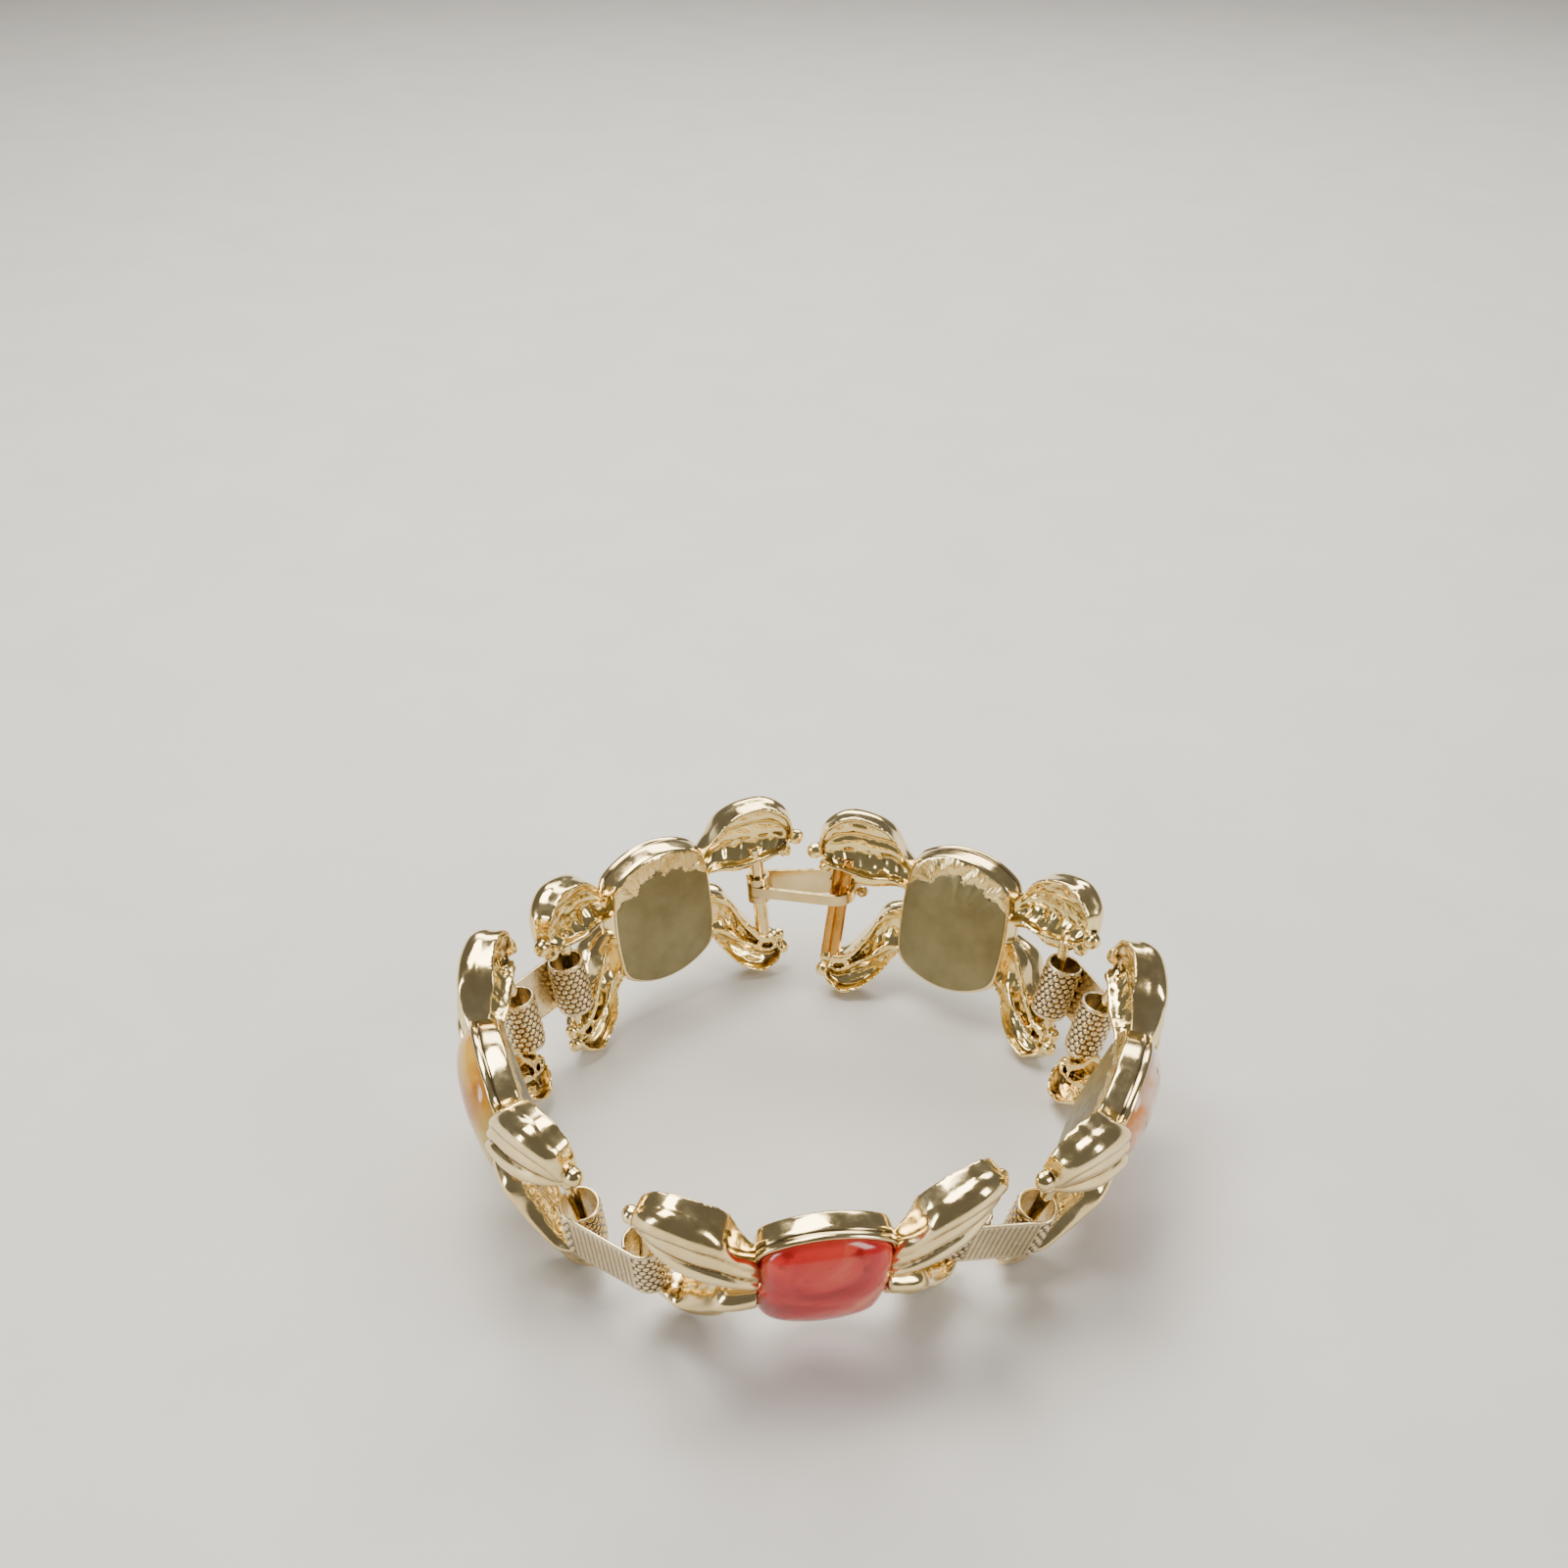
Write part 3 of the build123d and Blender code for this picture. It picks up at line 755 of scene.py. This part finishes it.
def metal(name, bright, warm, rough, bump, dark=None, grime_from=None, back=None):
    """Polished plated metal whose tone drifts between bright and warm, and its roughness too.

    Dark tarnish gathers in grooves from a depth on, and the side towards the wrist has a tone
    of its own, where these are given. With the latter, the part of the front that looks down
    also gets a painted dark reflection.
    """
    material, nodes, links, shader = node_tree(name)
    shader.inputs["Metallic"].default_value = 1.0
    broad = noise_node(nodes, links, 240, 3)
    tone = ramp_node(nodes, [(0.30, warm), (0.62, bright)])
    links.new(broad.outputs["Fac"], tone.inputs["Fac"])
    last = tone.outputs["Color"]
    if back:
        inner = nodes.new("ShaderNodeAttribute")
        inner.attribute_name = "inner"
        last = mixed(nodes, links, inner.outputs["Fac"], last, back)
        # Painted dark reflection on the part of the front that looks down
        painted_reflection = nodes.new("ShaderNodeAttribute")
        painted_reflection.attribute_name = "painted_reflection"
        amount = nodes.new("ShaderNodeMath")
        amount.operation = "MULTIPLY"
        amount.inputs[1].default_value = PAINTED_REFLECTION_SHARE
        links.new(painted_reflection.outputs["Fac"], amount.inputs[0])
        last = mixed(nodes, links, amount.outputs["Value"], last, PAINTED_REFLECTION_TONE)
    if grime_from is not None:
        attribute = nodes.new("ShaderNodeAttribute")
        attribute.attribute_name = "groove"
        grime = nodes.new("ShaderNodeMapRange")
        grime.inputs["From Min"].default_value = grime_from
        grime.inputs["From Max"].default_value = grime_from + 0.5
        links.new(attribute.outputs["Fac"], grime.inputs["Value"])
        last = mixed(nodes, links, grime.outputs["Result"], last, dark)
    links.new(last, shader.inputs["Base Color"])
    fine = noise_node(nodes, links, 900, 5, 0.6)
    span = nodes.new("ShaderNodeMapRange")
    span.inputs["From Min"].default_value = 0.35
    span.inputs["From Max"].default_value = 0.68
    span.inputs["To Min"].default_value = rough[0]
    span.inputs["To Max"].default_value = rough[1]
    links.new(fine.outputs["Fac"], span.inputs["Value"])
    links.new(span.outputs["Result"], shader.inputs["Roughness"])
    relief = nodes.new("ShaderNodeBump")
    relief.inputs["Strength"].default_value = bump
    relief.inputs["Distance"].default_value = 0.00012
    links.new(broad.outputs["Fac"], relief.inputs["Height"])
    links.new(relief.outputs["Normal"], shader.inputs["Normal"])
    return material


def stone_material(name, stops, scale, seed, subsurface, specks=None, tone_and_shade_slope=(0, 0, 0), middle=(0, 0, 0)):
    """Polished stone: soft drifting colour under a clear gloss, with small specks if any.

    The colour also drifts along the stone, by so much for each metre from its middle; on the
    front stone its darkening towards the bottom is painted shade.
    """
    material, nodes, links, shader = node_tree(name)
    coordinate = nodes.new("ShaderNodeTexCoord")
    shift = nodes.new("ShaderNodeMapping")
    shift.inputs["Location"].default_value = (seed, seed * 0.7, seed * 1.3)
    links.new(coordinate.outputs["Object"], shift.inputs["Vector"])
    cloud = nodes.new("ShaderNodeTexNoise")
    cloud.inputs["Scale"].default_value = scale
    cloud.inputs["Detail"].default_value = 5
    cloud.inputs["Roughness"].default_value = 0.5
    cloud.inputs["Distortion"].default_value = 1.1
    links.new(shift.outputs["Vector"], cloud.inputs["Vector"])
    place = nodes.new("ShaderNodeVectorMath")
    place.operation = "SUBTRACT"
    place.inputs[1].default_value = middle
    links.new(coordinate.outputs["Object"], place.inputs[0])
    along = nodes.new("ShaderNodeVectorMath")
    along.operation = "DOT_PRODUCT"
    along.inputs[1].default_value = tone_and_shade_slope
    links.new(place.outputs["Vector"], along.inputs[0])
    total = nodes.new("ShaderNodeMath")
    total.operation = "ADD"
    links.new(cloud.outputs["Fac"], total.inputs[0])
    links.new(along.outputs["Value"], total.inputs[1])
    tone = ramp_node(nodes, stops)
    links.new(total.outputs["Value"], tone.inputs["Fac"])
    last = tone.outputs["Color"]
    if specks:
        grain = nodes.new("ShaderNodeTexNoise")
        grain.inputs["Scale"].default_value = scale * 5
        grain.inputs["Detail"].default_value = 6
        links.new(shift.outputs["Vector"], grain.inputs["Vector"])
        pick = ramp_node(nodes, [(0.60, (0, 0, 0)), (0.70, (1, 1, 1))])
        links.new(grain.outputs["Fac"], pick.inputs["Fac"])
        last = mixed(nodes, links, pick.outputs["Color"], last, specks)
    links.new(last, shader.inputs["Base Color"])
    shader.inputs["Roughness"].default_value = 0.14
    shader.inputs["IOR"].default_value = 1.54
    shader.inputs["Subsurface Weight"].default_value = subsurface
    shader.inputs["Subsurface Radius"].default_value = (1.0, 0.45, 0.3)
    shader.inputs["Subsurface Scale"].default_value = 0.0015
    relief = nodes.new("ShaderNodeBump")
    relief.inputs["Strength"].default_value = 0.04
    relief.inputs["Distance"].default_value = 0.0001
    links.new(cloud.outputs["Fac"], relief.inputs["Height"])
    links.new(relief.outputs["Normal"], shader.inputs["Normal"])
    return material


GOLD = metal("cast_gold", bright=(0.96, 0.78, 0.42), warm=(0.84, 0.63, 0.29), rough=(0.08, 0.22),
             bump=0.30, dark=(0.20, 0.12, 0.045), grime_from=0.25, back=(1.00, 0.80, 0.36))
FLANGE = metal("flange_gold", bright=(1.00, 0.80, 0.38), warm=(0.80, 0.58, 0.22), rough=(0.20, 0.42),
               bump=0.7, dark=(0.24, 0.15, 0.06), grime_from=0.15)
SHEET_GOLD = metal("sheet_gold", bright=(0.92, 0.77, 0.48), warm=(0.78, 0.61, 0.33), rough=(0.18, 0.34),
                   bump=0.25, dark=(0.10, 0.06, 0.03), grime_from=0.05)
# Dark olive: partly the plate's own tone, partly painted dark reflection
PLATE_TONE_AND_REFLECTION = metal("plate_olive_painted_reflection", bright=(0.27, 0.235, 0.125), warm=(0.20, 0.17, 0.085), rough=(0.30, 0.46),
              bump=0.15)
# The same gold made darker than the casting's: painted dark reflection on the clasp's flat faces
CLASP_PAINTED_DARK = metal("clasp_gold_painted_dark", bright=(0.84, 0.66, 0.34), warm=(0.68, 0.50, 0.23), rough=(0.12, 0.28),
              bump=0.2)
CATCH = metal("catch_amber", bright=(0.72, 0.40, 0.10), warm=(0.52, 0.26, 0.06), rough=(0.14, 0.30),
              bump=0.2)

STONES = {
    "front": stone_material(
        "stone_coral", [(0.32, (0.30, 0.003, 0.008)), (0.46, (0.55, 0.008, 0.016)),
                        (0.60, (0.68, 0.045, 0.03)), (0.72, (0.80, 0.19, 0.11))],
        scale=110, seed=3.1, subsurface=0.08, specks=(0.36, 0.01, 0.01),
        # Darker towards the bottom: painted shade
        tone_and_shade_slope=(11, 0, 13), middle=(0.0005, -0.030, 0.0104)),
    "right": stone_material(
        "stone_blush", [(0.32, (0.76, 0.30, 0.09)), (0.44, (0.80, 0.55, 0.40)),
                        (0.60, (0.86, 0.70, 0.64))],
        scale=150, seed=5.3, subsurface=0.15, specks=(0.26, 0.12, 0.07),
        tone_and_shade_slope=(60, 0, 0), middle=(0.0312, 0, 0.0106)),
    "back_right": stone_material(
        "stone_mint", [(0.34, (0.34, 0.50, 0.33)), (0.66, (0.58, 0.72, 0.54))],
        scale=160, seed=7.7, subsurface=0.15),
    "back_left": stone_material(
        "stone_jade", [(0.34, (0.30, 0.46, 0.29)), (0.66, (0.54, 0.68, 0.48))],
        scale=150, seed=2.2, subsurface=0.15),
    "left": stone_material(
        "stone_amber", [(0.30, (0.42, 0.15, 0.02)), (0.44, (0.60, 0.30, 0.035)),
                        (0.58, (0.62, 0.43, 0.05))],
        scale=110, seed=9.4, subsurface=0.05,
        tone_and_shade_slope=(0, 0, -16), middle=(-0.031, 0, 0.0110)),
}


def add_post(body, u, radius, spread):
    """An upright post, slightly uneven like a cast pin, or two of them spread apart."""
    rows = 40
    around = 20
    height = np.linspace(POST_BOTTOM, POST_TOP, rows)[:, None]
    turn = np.linspace(0, 2 * pi, around, endpoint=False)[None, :]
    wave = 1 - POST_UNEVEN * (0.5 + 0.5 * np.sin(height * 2.1 + u))
    for shift in ((-spread, spread) if spread else (0.0,)):
        points = np.stack([u + shift + radius * wave * np.cos(turn), height * np.ones_like(turn),
                           wrist_curve(u) + POST_LIFT + radius * wave * np.sin(turn)], 2)
        body.add(points, capped(rows, around))


def smooth_dome(count_around, count_up):
    """The domed stone from its seat to the middle of its top."""
    half_width = CUP_HALF_WIDTH - STONE_INSET
    half_height = CUP_HALF_HEIGHT - STONE_INSET
    outline, _ = barrel_outline(half_width, half_height, count_around)
    rows = [np.column_stack([outline, np.full(count_around, STONE_BASE)]),
            np.column_stack([outline, np.full(count_around, GIRDLE)])]
    for k in range(1, count_up):
        size = cos(pi / 2 * k / count_up)
        rise = (1 - size**DOME_POWER) ** 0.5
        rows.append(np.column_stack([outline * size, np.full(count_around, GIRDLE + rise * DOME_RISE)]))
    points = np.vstack(rows)
    top = len(points)
    points = np.vstack([points, [[0, 0, GIRDLE + DOME_RISE]]])
    faces = grid(count_up + 1, count_around, closed_columns=True)
    last = count_up * count_around
    for j in range(count_around):
        faces.append([last + j, top, last + (j + 1) % count_around])
    faces.append(list(range(count_around)))
    return points, faces


def back_plate(count, steps, rng):
    """The plate on the cup's back, slightly domed: it covers the back lip at its sides and
    bottom, and ends short of it along the top in an uneven edge."""
    inset = CUP_TAPER + PLATE_INSET
    outline, _ = barrel_outline(CUP_HALF_WIDTH - inset, CUP_HALF_HEIGHT - inset, count)
    turn = np.linspace(0, 2 * pi, count, endpoint=False)
    waves = sum(rng.uniform(0.4, 1.0) * np.sin(k * turn + rng.uniform(0, 2 * pi))
                for k in (7, 13, 21, 34)) / 4
    upper = ramp(outline[:, 1] / CUP_HALF_HEIGHT, PLATE_TOP_FROM, PLATE_TOP_RUN)
    pull = upper * (PLATE_TOP_GAP + PLATE_TOP_WAVE * waves)
    edge = outline * (1 - pull / np.linalg.norm(outline, axis=1))[:, None]
    back = CUP_FRONT - CUP_DEPTH
    rows = [np.column_stack([edge, np.full(count, back + PLATE_SUNK)])]
    for k in range(steps + 1):
        size = cos(pi / 2 * k / (steps + 1))
        rise = PLATE_DOME * (1 - size**2) + PLATE_STAND * (1 if k else 0)
        rows.append(np.column_stack([edge * size, np.full(count, back - rise)]))
    points = np.vstack(rows + [[[0.0, 0.0, back - PLATE_DOME - PLATE_STAND]]])
    faces = grid(steps + 2, count, closed_columns=True)
    last = (steps + 1) * count
    for j in range(count):
        faces.append([last + j, len(points) - 1, last + (j + 1) % count])
    faces.append(list(range(count)))
    return points, faces


def finish_piece(piece, materials, body, node):
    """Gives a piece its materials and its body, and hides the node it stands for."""
    for material in materials:
        piece.data.materials.append(material)
    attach(piece, body)
    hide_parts(node)


def padded(values, count):
    """Values for the first points of a mesh, and zero for the rest of them."""
    full = np.zeros(count)
    full[:len(values)] = values
    return full


ring = ring_points(RING_COUNT, rng)
ring_rows = len(RING)
ring_faces = grid(ring_rows, RING_COUNT, closed_columns=True)
dome_points, dome_faces = smooth_dome(128, 26)
plate_points, plate_faces = back_plate(160, 14, rng)

for panel in PANELS:
    body = Mesh()
    body.add(arm_points, arm_faces)
    body.add(ring, ring_faces)
    pin = PIN_RADIUS if panel.name == "back_left" else POST_RADIUS
    spread = CATCH_SPREAD if panel.name == "back_right" else 0.0
    add_post(body, -post_u(panel.post_before), pin, 0.0)
    second_post = len(body.faces)
    add_post(body, post_u(panel.post_after), POST_RADIUS, spread)
    piece = build("casting_" + panel.name, in_ring(body.all_points(), panel.name), body.faces)

    tarnish = np.repeat([row.tarnish for row in RING], RING_COUNT).reshape(ring_rows, RING_COUNT)
    spotted_rows = ring_rows - FLANGE_FROM - 1
    spots = rng.random((spotted_rows, RING_COUNT))
    tarnish[FLANGE_FROM + 1:] = FLANGE_TARNISH_SPAN * spots + FLANGE_TARNISH_LEAST
    point_attribute(piece, "groove", padded(np.concatenate([arm_groove, tarnish.ravel()]), body.count))
    point_attribute(piece, "inner", padded(behind, body.count))
    # Where the arms' front looks down, for its painted dark reflection
    point_attribute(piece, "painted_reflection", padded(shade, body.count))

    index = np.zeros(len(body.faces), np.int32)
    index[len(arm_faces) + FLANGE_FROM * RING_COUNT:len(arm_faces) + len(ring_faces)] = 1
    if panel.name == "back_right":
        index[second_post:] = 2
    finish_piece(piece, [GOLD, FLANGE, CATCH], "band", "setting_" + panel.name)
    piece.data.polygons.foreach_set("material_index", index)

    stone = build("cabochon_" + panel.name, in_ring(dome_points, panel.name), dome_faces)
    outward_faces(stone)
    finish_piece(stone, [STONES[panel.name]], "band", "stone_" + panel.name)

    plate = build("backing_" + panel.name, in_ring(plate_points, panel.name), plate_faces)
    outward_faces(plate)
    finish_piece(plate, [PLATE_TONE_AND_REFLECTION], "band", "back_plate_" + panel.name)


def panel_up(name):
    """A panel's upward direction in the ring."""
    return FRAMES[name][1][1]


def post_point(name, u, level):
    """Place on a post of a panel, in the ring."""
    origin, axes = FRAMES[name]
    return np.array([u, level, wrist_curve(u) + POST_LIFT]) @ axes + origin


def sheet_path(half_span, step):
    """Middle line of a connector's sheet in plan: places, outer directions, whether each is on
    the strip, and the length up to it."""
    middle = ROLL_INNER + SHEET / 2
    sweep = radians(360 - ROLL_OPENING)
    turns = max(8, int(round(sweep * middle / step)))
    left = np.linspace(-pi / 2 + radians(ROLL_OPENING), 3 * pi / 2, turns + 1)
    places = [np.stack([-half_span + middle * np.cos(left), middle * np.sin(left)], 1)]
    outer = [np.stack([np.cos(left), np.sin(left)], 1)]
    strip = [np.zeros(turns + 1)]
    runs = max(4, int(round(2 * half_span / step)))
    along = np.linspace(-half_span, half_span, runs + 1)[1:-1]
    places.append(np.stack([along, np.full(len(along), -middle)], 1))
    outer.append(np.tile([0.0, -1.0], (len(along), 1)))
    strip.append(np.ones(len(along)))
    right = np.linspace(-pi / 2, 3 * pi / 2 - radians(ROLL_OPENING), turns + 1)
    places.append(np.stack([half_span + middle * np.cos(right), middle * np.sin(right)], 1))
    outer.append(np.stack([np.cos(right), np.sin(right)], 1))
    strip.append(np.zeros(turns + 1))
    places = np.vstack(places)
    return places, np.vstack(outer), np.concatenate(strip), running_length(places)


def connector_mesh(half_span):
    """Knurled rolls and a ribbed strip, in the connector's own frame."""
    places, outer, strip, reach = sheet_path(half_span, SHEET_STEP)
    strip = strip[:, None]
    levels = np.linspace(0, CONNECTOR_HEIGHT, SHEET_LEVELS)
    edge = ramp(np.minimum(levels, CONNECTOR_HEIGHT - levels), PLAIN_EDGE, PLAIN_EDGE_FADE)
    rows_up = levels[None, :] - KNURL_SLANT * reach[:, None]
    row = np.round(rows_up / KNURL_ROW)
    along = (reach[:, None] + (row % 2) * KNURL_PITCH / 2) / KNURL_PITCH
    from_s = (along - np.round(along)) * KNURL_PITCH
    from_z = rows_up - row * KNURL_ROW
    knurl = np.clip(1 - (from_s**2 + from_z**2) / KNURL_BUMP**2, 0, 1) ** 0.7
    rib = 0.5 + 0.5 * np.cos(2 * pi * reach / RIB_PITCH)
    relief = (1 - strip) * KNURL_DEPTH * knurl + strip * RIB_DEPTH * rib[:, None]
    relief = relief * edge[None, :]
    groove = ((1 - strip) * (KNURL_TARNISH - KNURL_BRIGHT * knurl)
              + strip * (RIB_TARNISH - RIB_BRIGHT * rib[:, None]))
    groove = groove * edge[None, :]
    half = SHEET / 2
    n, m = len(places), len(levels)
    front = np.empty((n, m, 3))
    back = np.empty((n, m, 3))
    off = half - KNURL_SINK + relief
    front[:, :, 0] = places[:, None, 0] + outer[:, None, 0] * off
    front[:, :, 1] = places[:, None, 1] + outer[:, None, 1] * off
    front[:, :, 2] = levels[None, :]
    back[:, :, 0] = places[:, None, 0] - outer[:, None, 0] * half
    back[:, :, 1] = places[:, None, 1] - outer[:, None, 1] * half
    back[:, :, 2] = levels[None, :]
    points = np.vstack([front.reshape(-1, 3), back.reshape(-1, 3)])
    faces = grid(n, m) + [[k + n * m for k in face] for face in grid(n, m, flip=True)]
    behind_by = n * m
    for i in range(n - 1):
        low, next_low = i * m, (i + 1) * m
        high, next_high = low + m - 1, next_low + m - 1
        faces.append([low, behind_by + low, behind_by + next_low, next_low])
        faces.append([high, next_high, behind_by + next_high, behind_by + high])
    last = (n - 1) * m
    for j in range(m - 1):
        faces.append([j, j + 1, behind_by + j + 1, behind_by + j])
        faces.append([last + j, behind_by + last + j, behind_by + last + j + 1, last + j + 1])
    values = np.concatenate([groove.ravel(), np.full(n * m, SHEET_BACK_TARNISH)])
    return points, faces, values


for first, second in LINKS:
    a, b = BY_NAME[first], BY_NAME[second]
    start = post_point(first, post_u(a.post_after), CONNECTOR_LEVEL)
    stop = post_point(second, -post_u(b.post_before), CONNECTOR_LEVEL)
    upright = unit(panel_up(first) + panel_up(second))
    along = stop - start
    along = along - upright * (along @ upright)
    half_span = np.linalg.norm(along) / 2
    x_dir = unit(along)
    inward = np.cross(upright, x_dir)
    middle = (start + stop) / 2 - upright * CONNECTOR_HEIGHT / 2
    points, faces, values = connector_mesh(half_span)
    placed = (points @ np.array([x_dir, inward, upright]) + middle) * MM
    piece = build("knurled_" + first + "_" + second, placed, faces)
    outward_faces(piece)
    point_attribute(piece, "groove", values)
    finish_piece(piece, [SHEET_GOLD], "band", "connector_" + first + "_" + second)

# The clasp keeps the solids' own shape, with its edges eased
for name in ("clasp_tongue", "clasp_cover"):
    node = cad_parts[name]
    node.data.materials.clear()
    node.data.materials.append(CLASP_PAINTED_DARK)
    bevel = node.modifiers.new("edge", "BEVEL")
    bevel.width = CLASP_EDGE * MM
    bevel.segments = CLASP_EDGE_STEPS
    bevel.limit_method = "ANGLE"
    bevel.harden_normals = False


# Surface it stands on, lights and camera
def floor_material():
    """Pale matt floor with a faint grain."""
    material, nodes, links, shader = node_tree("pale_floor")
    grain = noise_node(nodes, links, 60, 3)
    tone = ramp_node(nodes, [(0.3, (0.66, 0.645, 0.62)), (0.7, (0.70, 0.685, 0.66))])
    links.new(grain.outputs["Fac"], tone.inputs["Fac"])
    links.new(tone.outputs["Color"], shader.inputs["Base Color"])
    shader.inputs["Roughness"].default_value = 0.55
    return material


floor_corners = [(-FLOOR_SIDE, -FLOOR_SIDE, 0), (FLOOR_SIDE, -FLOOR_SIDE, 0),
                 (FLOOR_SIDE, FLOOR_BACK, 0), (-FLOOR_SIDE, FLOOR_BACK, 0)]
floor = build("floor", floor_corners, [[0, 1, 2, 3]], False)
floor.data.materials.append(floor_material())


def softbox(name, place, aim, width, height, power, colour):
    """A soft rectangular light, in metres and watts, turned towards a point."""
    light = bpy.data.lights.new(name, "AREA")
    light.shape = "RECTANGLE"
    light.size = width
    light.size_y = height
    light.energy = power
    light.color = colour
    lamp = bpy.data.objects.new(name, light)
    lamp.location = place
    lamp.rotation_euler = (Vector(aim) - Vector(place)).to_track_quat("-Z", "Y").to_euler()
    bpy.context.scene.collection.objects.link(lamp)


softbox("key", (-0.10, 0.10, 0.42), (0, 0, 0), 0.30, 0.22, 2.6, (1.0, 0.95, 0.86))
softbox("back", (0.04, 0.46, 0.36), (0, 0, 0.01), 0.55, 0.20, 3.0, (1.0, 0.96, 0.88))
softbox("fill", (0.42, -0.20, 0.30), (0, 0, 0.01), 0.16, 0.30, 1.6, (1.0, 0.97, 0.92))
softbox("rim", (-0.40, -0.16, 0.16), (0, 0, 0.01), 0.10, 0.24, 0.9, (0.95, 0.97, 1.0))

world = bpy.data.worlds.new("studio")
bpy.context.scene.world = world
world.use_nodes = True
world.node_tree.nodes["Background"].inputs["Color"].default_value = (0.62, 0.60, 0.57, 1)
world.node_tree.nodes["Background"].inputs["Strength"].default_value = 0.26

camera_data = bpy.data.cameras.new("camera")
camera_data.sensor_width = SENSOR
camera_data.lens = LENS
camera_data.clip_start = NEAREST_SEEN
camera = bpy.data.objects.new("camera", camera_data)
camera.location = CAMERA_PLACE
camera.rotation_euler = (radians(90 - CAMERA_PITCH), 0, 0)
bpy.context.scene.collection.objects.link(camera)
bpy.context.scene.camera = camera
